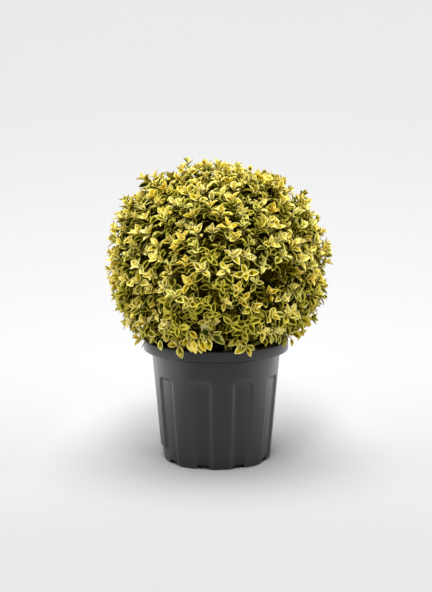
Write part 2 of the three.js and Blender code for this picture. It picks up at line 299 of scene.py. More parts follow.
def turn_towards(thing, aim):
    """Turns an object's -Z axis towards a point."""
    ahead = np.array(aim) - np.array(thing.location)
    pitch = np.arctan2(np.hypot(ahead[0], ahead[1]), -ahead[2])
    thing.rotation_euler = (pitch, 0, np.arctan2(-ahead[0], ahead[1]))


camera = bpy.data.objects.new("camera", bpy.data.cameras.new("camera"))
bpy.context.scene.collection.objects.link(camera)
camera.location = CAMERA_PLACE
camera.data.lens = CAMERA_LENS
turn_towards(camera, CAMERA_AIM)
bpy.context.scene.camera = camera
print("the camera looks down by", round(90 - np.degrees(camera.rotation_euler[0]), 2), "degrees")

# %% [markdown]
# ## Studio
#
# The plant stands on a plain pale sweep. A flat disc would show its edge from some sides, so the floor is
# a shallow round dish: level around the pot, and rising gently far away, so that there is no horizon
# from any side. A very wide sun lamp stands in for a ceiling of diffusers, and a narrower one in front
# models the leaves. The world fills the shadows. A soft spot from high in front brightens the sweep behind
# the plant. Two low cards, which only gloss sees, put a strip of light down each side of the pot.

# %% The floor
FLOOR_LEVEL_RADIUS = 1.5
FLOOR_RADIUS = 9.0
FLOOR_RISE = 0.05
FLOOR_ROWS = 60
FLOOR_COLUMNS = 96
FLOOR_CROWDING = 1.6  # more than 1 sets the rows closer near the pot
FLOOR_COLOUR = (0.585, 0.585, 0.587, 1)


def floor_dish():
    """A surface of revolution: level out to a radius, then rising with the square of the way past it."""
    radius = np.linspace(0, 1, FLOOR_ROWS)[1:, None] ** FLOOR_CROWDING * FLOOR_RADIUS
    height = FLOOR_RISE * np.maximum(radius - FLOOR_LEVEL_RADIUS, 0) ** 2
    return round_places(radius, full_turn(FLOOR_COLUMNS), height)


floor_faces = grid_faces(FLOOR_ROWS - 1, FLOOR_COLUMNS, closed=True)
floor = make_mesh("floor", floor_dish(), [floor_faces, np.arange(FLOOR_COLUMNS)[None]])
paper = Finish("floor_paper")
floor.data.materials.append(paper.paint({"Base Color": FLOOR_COLOUR, "Roughness": 0.9}))

# %% The lights
WORLD_LIGHT = 0.275
GROUND = (0, 0, 0)
CARD_AIM = (0, 0, 0.082)
SPOT = {"spot_size": np.radians(46), "spot_blend": 1.0, "shadow_soft_size": 0.5}
CARD = {"shape": "RECTANGLE", "size": 0.80, "size_y": 0.11}
LAMPS = [  # name, kind, strength, place, aim, other settings
    ("ceiling", "SUN", 2.66, (-0.05, 0.05, 2.2), GROUND, {"angle": np.radians(50)}),
    ("front", "SUN", 0.98, (-0.15, -1.8, 1.9), GROUND, {"angle": np.radians(14)}),
    ("backdrop", "SPOT", 260, (0, -1.4, 3.2), (0, 1.45, 0), SPOT),
    ("left_card", "AREA", 0.42, (-0.34, 0.05, 0.082), CARD_AIM, CARD),
    ("right_card", "AREA", 0.31, (0.34, 0.05, 0.082), CARD_AIM, CARD),
]


def add_lamp(name, kind, strength, place, aim, settings):
    """A lamp at a place, turned towards a point. A card shows in gloss alone."""
    light = bpy.data.lights.new(name, kind)
    light.energy = strength
    for setting, value in settings.items():
        setattr(light, setting, value)
    lamp = bpy.data.objects.new(name, light)
    bpy.context.scene.collection.objects.link(lamp)
    lamp.location = place
    turn_towards(lamp, aim)
    lamp.visible_camera = kind != "AREA"
    lamp.visible_diffuse = kind != "AREA"


for lamp_row in LAMPS:
    add_lamp(*lamp_row)
world = bpy.data.worlds.new("studio")
world.use_nodes = True
world.node_tree.nodes["Background"].inputs["Color"].default_value = (1, 1, 1, 1)
world.node_tree.nodes["Background"].inputs["Strength"].default_value = WORLD_LIGHT
bpy.context.scene.world = world
bpy.context.scene.view_settings.view_transform = "Standard"
print("lights:", [lamp_row[0] for lamp_row in LAMPS])

# %% [markdown]
# ## The pot
#
# A nursery pot is one thin moulding: a tapering wall with sunk panels that stiffen it, a rim turned down
# all round, and a foot ring with drain notches. All the ribs between the panels but two run on down to the
# foot. It could be cut with Booleans, but their sharp edges catch no light. Here it is a profile carried
# round the axis, and the panels are a dent that depends on the angle: the distance to a panel's rounded
# outline says how deep the wall lies. More rows and columns are spent where an edge is.

# %% The pot's profile
POT_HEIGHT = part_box("nursery_pot")[1].z
RIM_RADIUS = 0.125
RIM_BAND = 0.0185
RIM_SKIRT = 0.0026
RIM_EDGE = 0.0022
WALL = 0.002
WALL_TOP_RADIUS = 0.1126
WALL_LOW_RADIUS = 0.097
PANEL_DEPTH = 0.0035
STEP_HEIGHT = 0.028
STEP_IN = PANEL_DEPTH
STEP_FALL = 0.0045
FOOT_RADIUS = 0.0898
FOOT_EDGE = 0.005
FOOT_BAND = 0.008
FOOT_DRAFT = 0.001
FLOOR_LIFT = 0.004
SHOULDER_HEIGHT = 0.1908  # a small ledge that the rim's band hides from above
SHOULDER_IN = 0.0013
PANEL_TOP = 0.1535
PANEL_CORNER = 0.008
PANEL_EDGE = 0.0036  # half the width of the sloping step round a panel
PANEL_ROWS = 32  # close together, where the panels' tops are
ROW_SPACING = 0.008  # the most, elsewhere


def wall_radius(height):
    """The outer wall's radius: a straight taper from the step to the rim."""
    slope = (WALL_TOP_RADIUS - WALL_LOW_RADIUS) / (POT_HEIGHT - WALL - STEP_HEIGHT)
    return WALL_LOW_RADIUS + slope * (height - STEP_HEIGHT)


def rounded_path(corners, arc_steps=5):
    """A path through corners given by radius, height and bend.

    A corner is rounded by a quadratic curve that starts and ends its bend away from it. Straight stretches
    get points no further apart than the row spacing."""
    bends = [bend for _, _, bend in corners]
    corners = np.array([corner[:2] for corner in corners])
    before = np.vstack([corners[:1], corners[:-1]])
    after = np.vstack([corners[1:], corners[-1:]])
    path = []
    for corner, back, on, bend in zip(corners, before, after, bends):
        way_back, way_on = back - corner, on - corner
        start = corner + way_back * (bend / max(np.hypot(*way_back), 1e-9))
        end = corner + way_on * (bend / max(np.hypot(*way_on), 1e-9))
        t = np.linspace(0, 1, arc_steps if bend else 1)[:, None]
        arc = (1 - t) ** 2 * start + 2 * t * (1 - t) * corner + t**2 * end
        if path:
            steps = int(np.ceil(np.hypot(*(arc[0] - path[-1])) / ROW_SPACING))
            share = np.linspace(0, 1, steps, endpoint=False)[1:, None]
            path.extend((1 - share) * path[-1] + share * arc[0])
        path.extend(arc)
    return np.array(path)


foot_inside = FOOT_RADIUS - FOOT_EDGE - FOOT_BAND
under_rim = POT_HEIGHT - WALL
band_foot = POT_HEIGHT - RIM_BAND
skirt = RIM_RADIUS - RIM_SKIRT
shoulder = wall_radius(SHOULDER_HEIGHT)
pot_inside = wall_radius(POT_HEIGHT) - WALL
inner_floor = FLOOR_LIFT + WALL
inset = PANEL_DEPTH + WALL  # from the outer wall to the inside of a panel
panel_low = PANEL_TOP - 2 * PANEL_CORNER
panel_rows = np.linspace(panel_low, PANEL_TOP + 3 * PANEL_EDGE, PANEL_ROWS)[1:]
plain_wall = PANEL_TOP + 5 * PANEL_EDGE
outer_low = rounded_path(
    [  # radius, height, bend
        (0.0, FLOOR_LIFT, 0),
        (foot_inside, FLOOR_LIFT, 0.0008),
        (foot_inside + FOOT_DRAFT, 0.0, 0.0008),
        (FOOT_RADIUS, 0.0, FOOT_EDGE),
        (WALL_LOW_RADIUS - STEP_IN, STEP_HEIGHT - STEP_FALL, 0.002),
        (WALL_LOW_RADIUS, STEP_HEIGHT, 0.002),
        (wall_radius(panel_low), panel_low, 0),
    ]
)
outer_panel = np.stack([wall_radius(panel_rows), panel_rows], -1)
outer_high = rounded_path(
    [  # radius, height, bend
        (wall_radius(plain_wall), plain_wall, 0),
        (shoulder, SHOULDER_HEIGHT, 0.0002),
        (shoulder - SHOULDER_IN, SHOULDER_HEIGHT + SHOULDER_IN, 0.0002),
        (WALL_TOP_RADIUS - SHOULDER_IN, under_rim, 0.003),
        (skirt, under_rim, 0.003),
        (skirt, band_foot, 0.0008),
        (RIM_RADIUS, band_foot, 0.0012),
        (RIM_RADIUS, POT_HEIGHT, RIM_EDGE),
        (pot_inside, POT_HEIGHT, 0.0009),
        (wall_radius(PANEL_TOP) - WALL, PANEL_TOP + 2 * PANEL_DEPTH, 0.002),
        (wall_radius(PANEL_TOP) - inset, PANEL_TOP + WALL, 0.002),
        (wall_radius(inner_floor) - inset, inner_floor, 0.003),
        (0.0, inner_floor, 0),
    ]
)
pot_profile = np.vstack([outer_low, outer_panel, outer_high])
print("pot profile:", len(pot_profile), "points, rim", round(RIM_RADIUS * 2, 3), "m across")

# %% Panels, notches and the whole pot
PANEL_COUNT = 9
PANEL_PHASE = -14.0  # front angle of one panel's middle, in degrees
PANEL_HALF_ANGLE = 9.2
MIDDLE_COLUMNS = [0.8, 2.4, 3.8, 4.6]  # degrees from a panel's middle, as are the next two
EDGE_COLUMNS = np.arange(5.0, 11.2, 0.36)
RIB_COLUMNS = [12, 13.5, 15.5, 17.6, 19.4]
NOTCH_HEIGHT = 0.0092
NOTCH_TOP_HALF = 0.0075
NOTCH_FOOT_HALF = 0.011
NOTCH_EDGE = 0.0008  # half the width of a notch's sloping sides
NOTCH_CUT = 0.97  # share of the wall in a notch that is taken out
STOPPED_RIBS = [3, 7]  # the ribs after these panels end at the step
FOOT_FILL = 0.008  # height by which the other ribs have their full depth
TOP_PAINTED_HIGHLIGHT = 1.2  # how much paler still the step along a panel's top is: painted highlight
WEAR_AND_HIGHLIGHT_WIDTH = 1.5 * PANEL_EDGE


def panel_columns():
    """Offsets from each panel's own middle, the same for all, and the front angles that they give."""
    half = np.concatenate([MIDDLE_COLUMNS, EDGE_COLUMNS, RIB_COLUMNS])
    offsets = np.concatenate([-half[::-1], half])
    middles = PANEL_PHASE + 360 / PANEL_COUNT * np.arange(PANEL_COUNT)
    return np.tile(offsets, PANEL_COUNT), (middles[:, None] + offsets).ravel()


def panel_distance(offset, height):
    """Distance to a panel's outline, less than 0 inside it: a box with its two upper corners rounded."""
    radius = wall_radius(height)
    half = radius * np.sin(np.radians(PANEL_HALF_ANGLE))
    aside = np.abs(radius * np.sin(np.radians(offset))) - (half - PANEL_CORNER)
    above = height - (PANEL_TOP - PANEL_CORNER)
    outside = np.hypot(np.maximum(aside, 0), np.maximum(above, 0))
    return outside + np.minimum(np.maximum(aside, above), 0) - PANEL_CORNER


def rib_stops(offset):
    """1 on both sides of the ribs that end at the step: each lies after one panel and before the next."""
    columns = len(offset) // PANEL_COUNT
    stops = np.repeat(np.isin(np.arange(PANEL_COUNT), STOPPED_RIBS), columns)
    return np.where(offset > 0, stops, np.roll(stops, columns))


def pot_surface():
    """The profile carried round the axis, sunk at the panels and lifted at the notches of the foot ring."""
    offset, front = panel_columns()
    radius = np.repeat(pot_profile[:, :1], len(front), 1)
    height = np.repeat(pot_profile[:, 1:], len(front), 1)
    row = np.arange(len(pot_profile))[:, None]
    on_wall = (row < len(outer_low) + len(outer_panel)) & (radius > foot_inside)
    edge = panel_distance(offset, height)
    sunk = smooth_step(PANEL_EDGE, -PANEL_EDGE, edge) * on_wall
    radius = radius - sunk * np.maximum(radius - (wall_radius(height) - PANEL_DEPTH), 0)
    filled = (1 - rib_stops(offset)) * (1 - sunk) * on_wall * smooth_step(0, FOOT_FILL, height)
    radius = radius + filled * np.maximum(wall_radius(height) - radius, 0) * (height < STEP_HEIGHT)
    lean = (NOTCH_FOOT_HALF - NOTCH_TOP_HALF) / NOTCH_HEIGHT
    aside = np.abs(FOOT_RADIUS * np.sin(np.radians(offset)))
    open_here = smooth_step(NOTCH_EDGE, -NOTCH_EDGE, aside - (NOTCH_FOOT_HALF - lean * height))
    low = on_wall & (height < NOTCH_HEIGHT)
    height = np.where(low, height + open_here * (NOTCH_HEIGHT - NOTCH_CUT * height), height)
    # Pale edges round the panels, paler along their tops: partly wear, partly a painted highlight.
    at_top = smooth_step(PANEL_TOP - PANEL_CORNER, PANEL_TOP, height)
    wear_and_highlight = np.exp(-((edge / WEAR_AND_HIGHLIGHT_WIDTH) ** 2)) * on_wall * (1 + TOP_PAINTED_HIGHLIGHT * at_top)
    return round_places(radius, np.radians(front), height), wear_and_highlight


pot_points, pot_wear_and_highlight = [rows[1:-1] for rows in pot_surface()]
pot = make_mesh("moulded_pot", pot_points, tube_faces(*pot_points.shape[:2]))
# The pale edges, wear with a painted highlight, go to the shader as a point attribute.
wear_and_highlight = pot.data.attributes.new("wear_and_highlight", "FLOAT", "POINT")
wear_and_highlight.data.foreach_set("value", pot_wear_and_highlight.astype(np.float32).ravel())

# %% [markdown]
# ## Pot plastic
#
# Recycled black plastic is dark grey rather than black. It has a soft sheen, is faintly cloudy, and shows
# the mould's fine grain and paler edges round its panels: partly wear, partly a painted highlight, the most
# along the panels' tops. These paler edges read an attribute that was worked out with the panels, so they
# stay on the steps in any view.

# %% Finish the pot
PLASTIC_DARK = (0.0085, 0.009, 0.0104, 1)
PLASTIC_GREY = (0.0142, 0.015, 0.0172, 1)
# The pale edge colour below is partly wear, partly a painted highlight.
PLASTIC_WEAR_AND_HIGHLIGHT = (0.045, 0.045, 0.046, 1)
PLASTIC_ROUGHNESS = 0.33
CLOUD_SCALE = 26  # clouds in a metre, as for every noise here
FLOW_SCALE = (420, 420, 18)
GRAIN_SCALE = 1900
GRAIN_DEPTH = 0.00012
plastic = Finish("pot_plastic")
clouds = plastic.noise(CLOUD_SCALE, 4)
flow = plastic.noise(1, 3, plastic.stretched(FLOW_SCALE))
# How pale the plastic is at each panel edge: wear with a painted highlight.
edge_wear_and_highlight = plastic.node("ShaderNodeAttribute", {"attribute_name": "wear_and_highlight"}, {}, "Fac")
grey = plastic.blend(clouds, PLASTIC_DARK, PLASTIC_GREY)
grain = plastic.noise(GRAIN_SCALE, 2)
plastic.paint(
    {
        "Base Color": plastic.blend(edge_wear_and_highlight * (0.2 + 0.3 * clouds), grey, PLASTIC_WEAR_AND_HIGHLIGHT),
        "Roughness": PLASTIC_ROUGHNESS + 0.08 * clouds + 0.05 * flow,
        "Normal": plastic.bump(0.7 * grain + 0.3 * flow, GRAIN_DEPTH),
        "Specular IOR Level": 0.5,
    }
)
dress(pot, [plastic.material], "pot_plastic", "nursery_pot")

# %% [markdown]
# ## Compost
#
# The compost is a low mound a little under the rim, mostly hidden by the leaves. Its top is uneven, with
# crumbs of bark and fibre lying on it. A bump map alone would change its shading but not its outline, so
# ripples move the surface itself. The crumbs could be scattered instances. Here they are one mesh of a
# rough eight-sided lump repeated with seeded sizes and turns, which stays one piece in the export.

# %% The mound
SOIL_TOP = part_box("potting_soil")[1].z
SOIL_SIDE = 0.188
SOIL_FLAT = 0.034
SOIL_EYE = 0.002  # radius of the flat faces that close both ends
SOIL_GAP = 0.0003
SOIL_ROWS = 70
SOIL_COLUMNS = 180
CLODS = [(1, 0.03, 3), (0.6, 0.011, 4), (0.4, 0.005, 5)]  # share, wavelength and seed
CLOD_HEIGHT = 0.0022
CLOD_SINK = 0.4  # of a clod's height


def soil_height(radius):
    """The mound's height: level in the middle, then falling straight to the wall."""
    wall = wall_radius(SOIL_SIDE) - WALL
    return SOIL_TOP - (SOIL_TOP - SOIL_SIDE) * np.clip((radius - SOIL_FLAT) / (wall - SOIL_FLAT), 0, 1)


def soil_surface():
    """A round plug: from its base up along the pot's wall, then in over the uneven mound to the axis."""
    inside = inset + SOIL_GAP
    foot = inner_floor + SOIL_GAP
    edge = wall_radius(SOIL_SIDE) - WALL - SOIL_GAP
    widest = wall_radius(PANEL_TOP) - inside
    side = [(SOIL_EYE, foot), (wall_radius(foot) - inside, foot), (widest, PANEL_TOP)]
    top_radius = np.linspace(edge, SOIL_EYE, SOIL_ROWS)
    profile = np.vstack([side, np.stack([top_radius, soil_height(top_radius)], -1)])
    points = round_places(profile[:, :1], full_turn(SOIL_COLUMNS), profile[:, 1:])
    on_top = (np.arange(len(profile)) > len(side))[:, None]
    points[..., 2] += np.where(on_top, CLOD_HEIGHT * (layered(points, CLODS) - CLOD_SINK), 0)
    return points


soil_points = soil_surface()
soil = make_mesh("compost", soil_points, tube_faces(*soil_points.shape[:2]))

# %% The crumbs
CRUMBS = 1300
CRUMB_SEED = 21
CRUMB_SIZE = 0.0026
CRUMB_SCALES = (0.4, 1.2)
CRUMB_STRETCH = (0.5, 1.6)
CRUMB_CORNERS = (0.6, 1.3)
CRUMB_INNERMOST = 0.02  # of the mound's area
UPPER_FACES = [[0, 1, 2], [1, 3, 2], [3, 4, 2], [4, 0, 2]]
LOWER_FACES = [[1, 0, 5], [3, 1, 5], [4, 3, 5], [0, 4, 5]]


def crumb_points():
    """Lumps on the mound: an octahedron's corners, each pulled in or out, then stretched and turned."""
    draw = np.random.default_rng(CRUMB_SEED)
    corners = np.vstack([np.eye(3), -np.eye(3)]) * draw.uniform(*CRUMB_CORNERS, (CRUMBS, 6, 1))
    stretch = draw.uniform(*CRUMB_STRETCH, (CRUMBS, 1, 3)) * CRUMB_SIZE
    stretch = stretch * draw.uniform(*CRUMB_SCALES, (CRUMBS, 1, 1))
    axes = unit(draw.normal(size=(CRUMBS, 3)))
    beside = unit(np.cross(axes, draw.normal(size=(CRUMBS, 3))))
    frames = np.stack([axes, beside, np.cross(axes, beside)], 1)
    furthest = wall_radius(SOIL_SIDE) - WALL - 2 * CRUMB_SIZE
    radius = np.sqrt(draw.uniform(CRUMB_INNERMOST, 1, CRUMBS)) * furthest
    middle = round_places(radius, draw.uniform(0, 2 * np.pi, CRUMBS), soil_height(radius))
    return (corners * stretch) @ frames + middle[:, None]


crumb_faces = repeated(np.array(UPPER_FACES + LOWER_FACES), CRUMBS, 6)
crumbs = make_mesh("compost_crumbs", crumb_points(), [crumb_faces], smooth=False)

# %% [markdown]
# ## Peat
#
# Moist compost is nearly black peat with paler fibres in it. A picture of soil could be wrapped over it, but
# noise has no seam and fits the crumbs as well. One noise deals dark and lighter brown out in patches, a
# finer one picks out the fibres, and together they roughen the surface.

# %% Finish the compost
PEAT_DARK = (0.012, 0.0075, 0.0045, 1)
PEAT_BROWN = (0.045, 0.027, 0.015, 1)
FIBRE = (0.10, 0.065, 0.035, 1)
PATCH_SCALE = 90
FIBRE_SCALE = (900, 500, 700)
PEAT_RELIEF = 0.0012
peat = Finish("compost")
patches = peat.noise(PATCH_SCALE, 5)
fibres = peat.noise(1, 4, peat.stretched(FIBRE_SCALE))
peat_colour = peat.blend(peat.clear(patches, 0.35, 0.7), PEAT_DARK, PEAT_BROWN)
peat.paint(
    {
        "Base Color": peat.blend(peat.clear(fibres, 0.6, 0.8), peat_colour, FIBRE),
        "Roughness": 0.98 - 0.15 * patches,
        "Normal": peat.bump(0.5 * patches + 0.5 * fibres, PEAT_RELIEF),
    }
)
dress(soil, [peat.material], "compost", "potting_soil")
dress(crumbs, [peat.material], "compost", "potting_soil")

# %% [markdown]
# ## Stem
#
# The short stem is hidden in the ball, but it carries everything. It flares into the roots at the soil, and
# its bark is split into lengthwise ridges. It could be sculpted by hand, but a formula is easier to change:
# a ring of points is carried up a curve, and its radius is made of the taper, the flare with its
# buttresses, and ridges that wander as they climb.

# %% The barky stem
UP = np.array([0.0, 0.0, 1.0])
STEM_HEIGHT = 0.058
STEM_WAIST = 0.0105
STEM_TIP = 0.008
STEM_FLARE = 0.007
STEM_FLARE_FALL = 9
STEM_LOBES = 5
STEM_LOBE_DEPTH = 0.25
STEM_LEAN = np.array([0.003, -0.002, 0])
STEM_ROWS = 70
STEM_COLUMNS = 72
BARK_RIDGES = [(1, 0.55, 8), (0.6, 0.24, 9)]  # share, wavelength on a stem of radius 1, and seed
BARK_WAVES = 9
BARK_RIDGE_DEPTH = 0.0007
BARK_SINK = 0.7  # of a ridge's depth
BARK_LENGTH = 1.6  # the stem's height on that stem of radius 1, so that the ridges are drawn out
PLANT_SHIFT = np.array([0.002, 0, 0])
GAP = 0.0003
stem_foot = PLANT_SHIFT + np.array([0, 0, SOIL_TOP + GAP])
stem_tip = stem_foot + STEM_LEAN + UP * STEM_HEIGHT


def stem_surface():
    """Rings up a curve that leans over smoothly. The radius is taper plus dying flare plus ridges."""
    share = np.linspace(0, 1, STEM_ROWS)[:, None]
    angle = full_turn(STEM_COLUMNS)
    spine = stem_foot + STEM_LEAN * (share**2 * (3 - 2 * share)) + UP * (STEM_HEIGHT * share)
    lobes = 1 + STEM_LOBE_DEPTH * np.cos(STEM_LOBES * angle)
    flare = STEM_FLARE * lobes * np.exp(-STEM_FLARE_FALL * share)
    bark_places = np.stack(np.broadcast_arrays(np.cos(angle), np.sin(angle), BARK_LENGTH * share), -1)
    ridges = BARK_RIDGE_DEPTH * (layered(bark_places, BARK_RIDGES, BARK_WAVES) - BARK_SINK)
    radius = STEM_WAIST + (STEM_TIP - STEM_WAIST) * share + flare + ridges
    around = np.stack([np.cos(angle), np.sin(angle), 0 * angle], -1)
    return spine[:, None] + radius[..., None] * around


stem = make_mesh("barky_stem", stem_surface(), tube_faces(STEM_ROWS, STEM_COLUMNS))

# %% [markdown]
# ## Bark
#
# The bark of an old spindle stem is grey-brown, streaked lengthwise, with a little lichen. The ridges are
# in the mesh already, so the finish adds only what is finer: noise that is drawn out along the stem gives
# the streaks, and rounder noise gives the lichen.

# %% Finish the bark
BARK_DARK = (0.035, 0.024, 0.014, 1)
BARK_PALE = (0.17, 0.125, 0.075, 1)
LICHEN = (0.16, 0.17, 0.10, 1)
STREAK_SCALE = (260, 260, 40)
LICHEN_SCALE = 70
BARK_RELIEF = 0.0008
bark = Finish("bark")
streaks = bark.noise(1, 5, bark.stretched(STREAK_SCALE))
lichen = bark.noise(LICHEN_SCALE, 4)
bark_colour = bark.blend(bark.clear(streaks, 0.3, 0.7), BARK_DARK, BARK_PALE)
bark.paint(
    {
        "Base Color": bark.blend(bark.clear(lichen, 0.6, 0.75), bark_colour, LICHEN),
        "Roughness": 0.8 + 0.15 * streaks,
        "Normal": bark.bump(streaks, BARK_RELIEF),
    }
)
dress(stem, [bark.material], "bark", "main_stem")

# %% [markdown]
# ## Shoots
#
# A clipped shrub answers each cut with more shoots, so its outside is a shell of shoot tips. Scattered by
# pure chance they would stand in clumps with holes between. So they are spread along a golden-angle spiral,
# which is how many plants space their leaves and which covers a ball evenly. The first set grows in the CAD
# model's directions. A finer set fills in between them, sparser low on the front: it starts from the same
# rule, and rounds of pushing move each fine shoot away from its neighbours, as shoots grow towards the
# light. Some more of its shoots are listed one by one, where tips stand out from the ball's outline in the
# photograph. A third set stands further in, in the shade of the others. A ripple over the ball holds some
# shoots back, which opens the dark pockets that the real ball has.

# %% The ball's reach
BALL_HEIGHT = 0.338
BALL_RADIUS = 0.197
BALL_UP = 0.181
BALL_DOWN = 0.166
BALL_SQUARENESS = 2.4  # 2 is an ellipsoid, and more is boxier
BALL_MIDDLE = PLANT_SHIFT + UP * BALL_HEIGHT


def reach(direction):
    """How far the clipped surface lies from the ball's middle in a direction: a squared-off ellipsoid."""
    level = np.hypot(direction[..., 0], direction[..., 1]) / BALL_RADIUS
    upright = np.abs(direction[..., 2]) / np.where(direction[..., 2] > 0, BALL_UP, BALL_DOWN)
    return (level**BALL_SQUARENESS + upright**BALL_SQUARENESS) ** (-1 / BALL_SQUARENESS)


print("reach straight up and slanting up:", reach(np.array([[0, 0, 1], [0.6, 0, 0.8]])).round(3))

# %% Spread the shoots
MAIN_SHOOTS = 220
FINE_SHOOTS = 420
FINE_FIRST = 1000  # number of the first fine shoot, so that its chances differ from a main shoot's
INNER_SHOOTS = 330
INNER_FIRST = 2000
LOWEST_SINE = -0.8
SHOOT_WANDER = 0.06
GOLDEN_ANGLE = np.pi * (3 - np.sqrt(5))
LOW_CROWDING = 0.37  # share of the fine shoots that is kept low on the front of the ball
CROWDING_SINES = (0.0, 0.7)  # heights on a ball of radius 1 between which the others come in
CROWDING_FRONTS = (0.25, 0.75)  # places on it, counted towards the front, between which they go missing
EDGE_ANGLES = [2, 29, 44, 79, 88, 97, -16, -28, -48]  # degrees clockwise from the top of the picture
PUSH_ROUNDS = 30
PUSH_ROOM = 0.12  # on a ball of radius 1
PUSH_STEP = 0.02


def spiral_ways(count, first):
    """Directions from the ball's middle: even steps in height, golden-angle turns and a little wander."""
    k = np.arange(count)
    even = 1 - (k + 0.5) / count * (1 - LOWEST_SINE)
    sine = np.clip(even + SHOOT_WANDER * sway(k + first, 1), LOWEST_SINE, 1)
    angle = k * GOLDEN_ANGLE + SHOOT_WANDER * sway(k + first, 2)
    return round_places(np.sqrt(1 - sine**2), angle, sine)


def spread_out(ways, fixed):
    """Pushes directions apart, round after round, by a force of exp(-(distance / room)^2)."""
    for _ in range(PUSH_ROUNDS):
        apart = ways[:, None] - np.concatenate([fixed, ways])
        distance = np.linalg.norm(apart, axis=-1, keepdims=True)
        push = np.exp(-((distance / PUSH_ROOM) ** 2)) * apart / np.maximum(distance, 1e-6)
        ways = unit(ways + PUSH_STEP * push.sum(1))
    return ways


main_ways = spiral_ways(MAIN_SHOOTS, 0)
fine_start = spiral_ways(FINE_SHOOTS, FINE_FIRST)
low_down = 1 - smooth_step(*CROWDING_SINES, fine_start[:, 2])
sparse = smooth_step(*CROWDING_FRONTS, -fine_start[:, 1]) * low_down
fine_start = fine_start[chance(np.arange(FINE_SHOOTS), 9) < 1 - (1 - LOW_CROWDING) * sparse]
edge_angle = np.radians(EDGE_ANGLES)[:, None]
edge_ways = np.sin(edge_angle) * PICTURE_RIGHT + np.cos(edge_angle) * PICTURE_UP
fine_ways = np.concatenate([edge_ways, spread_out(fine_start, np.concatenate([main_ways, edge_ways]))])
print("fine shoots:", len(fine_ways), "of which", len(edge_ways), "are set by hand")

# %% Shoot tips
OUTER_SHARE = 0.915  # of the reach
EDGE_SHARE = 0.92
INNER_SHARE = 0.79
SHOOT_SPREAD = 0.04
PROUD_CHANCE = 0.14
PROUD_SHARE = 0.04
SHOOT_RISE = 0.55
RISE_VARIES = 0.30
SHOOT_STRAY = 0.22
POCKET_DEPTH = 0.018
POCKET_WIDTH = 0.085
POCKET_LIMIT = 1.4  # times the depth
POCKET_SEED = 31
LOWEST_TIP = 0.224  # for shoots beside the pot's rim


def shoot_tips(ways, first, share):
    """Tips at a share of the reach, less where a pocket is, and the ways they point: out and a little up."""
    k = np.arange(len(ways)) + first
    rise = (SHOOT_RISE + RISE_VARIES * sway(k, 5)) * np.hypot(ways[:, 0], ways[:, 1])
    stray = np.stack([sway(k, 51), sway(k, 52), sway(k, 53)], -1)
    axis = unit(ways + rise[:, None] * UP + SHOOT_STRAY * stray)
    proud = PROUD_SHARE * (chance(k, 6) < PROUD_CHANCE)
    far = reach(ways) * (share + SHOOT_SPREAD * sway(k, 3) + proud)
    pockets = np.clip(ripple(ways * BALL_RADIUS, POCKET_WIDTH, POCKET_SEED), 0, POCKET_LIMIT)
    return BALL_MIDDLE + ways * (far - POCKET_DEPTH * pockets)[:, None], axis


def with_room(tip, axis):
    """Leaves out the shoots that would end beside the pot's rim."""
    room = (tip[:, 2] > LOWEST_TIP) | (np.hypot(tip[:, 0], tip[:, 1]) < pot_inside)
    return tip[room], axis[room]


fine_share = np.where(np.arange(len(fine_ways)) < len(edge_ways), EDGE_SHARE, OUTER_SHARE)
inner_ways = spiral_ways(INNER_SHOOTS, INNER_FIRST)
main_tip, main_axis = with_room(*shoot_tips(main_ways, 0, OUTER_SHARE))
fine_tip, fine_axis = with_room(*shoot_tips(fine_ways, FINE_FIRST, fine_share))
inner_tip, inner_axis = with_room(*shoot_tips(inner_ways, INNER_FIRST, INNER_SHARE))
print("shoots:", len(main_tip), "main,", len(fine_tip), "fine and", len(inner_tip), "shaded")

# %% [markdown]
# ## One leaf
#
# A spindle leaf is a leathery ellipse with a blunt point, cupped a little along its midrib. Its middle is
# green, its edge is broadly yellow, and between them lies a paler green band. The colours have places on
# the leaf, so they are strips of the leaf's own mesh with plain colours, not a picture: six strips side by
# side, in seven steps from stalk to point. All leaves are worked out together, each with its own length,
# width, cup, curl and width of yellow.

# %% Leaf grids
LEAF_LENGTH = 0.0212
LEAF_WIDTH = 0.0118
LEAF_ROWS = np.array([0, 0.06, 0.18, 0.36, 0.56, 0.76, 0.92, 1.0])  # shares of the length
STRIPS = 6
WIDEST_SHIFT = 1.02  # more than 1 moves the widest place towards the point
FULLNESS = 0.8  # less than 1 makes the outline's arch fuller
STALK_SHARE = 0.09
STALK_TAPER = 0.6
MARGIN_WAVE = 0.25  # share by which the width of the yellow changes along a leaf
MARGIN_WAVES = 1.4  # in the length of a leaf
GREEN_LIMITS = (0.12, 0.92)  # shares of half the width
EDGE_WAVES = 1.6  # in the length of a leaf
EDGE_SLANT = 0.15  # how far the waves shift from the midrib to an edge, in waves
CUP_CURVE = 1.35  # 1 is a straight fold along the midrib, and 2 is a round bowl


def leaf_half_width(along):
    """Half a leaf's width at a share of its length: a full sine arch, kept a little open at both ends."""
    arch = np.sin(np.pi * along**WIDEST_SHIFT) ** FULLNESS
    return np.maximum(arch, STALK_SHARE * (1 - STALK_TAPER * along))


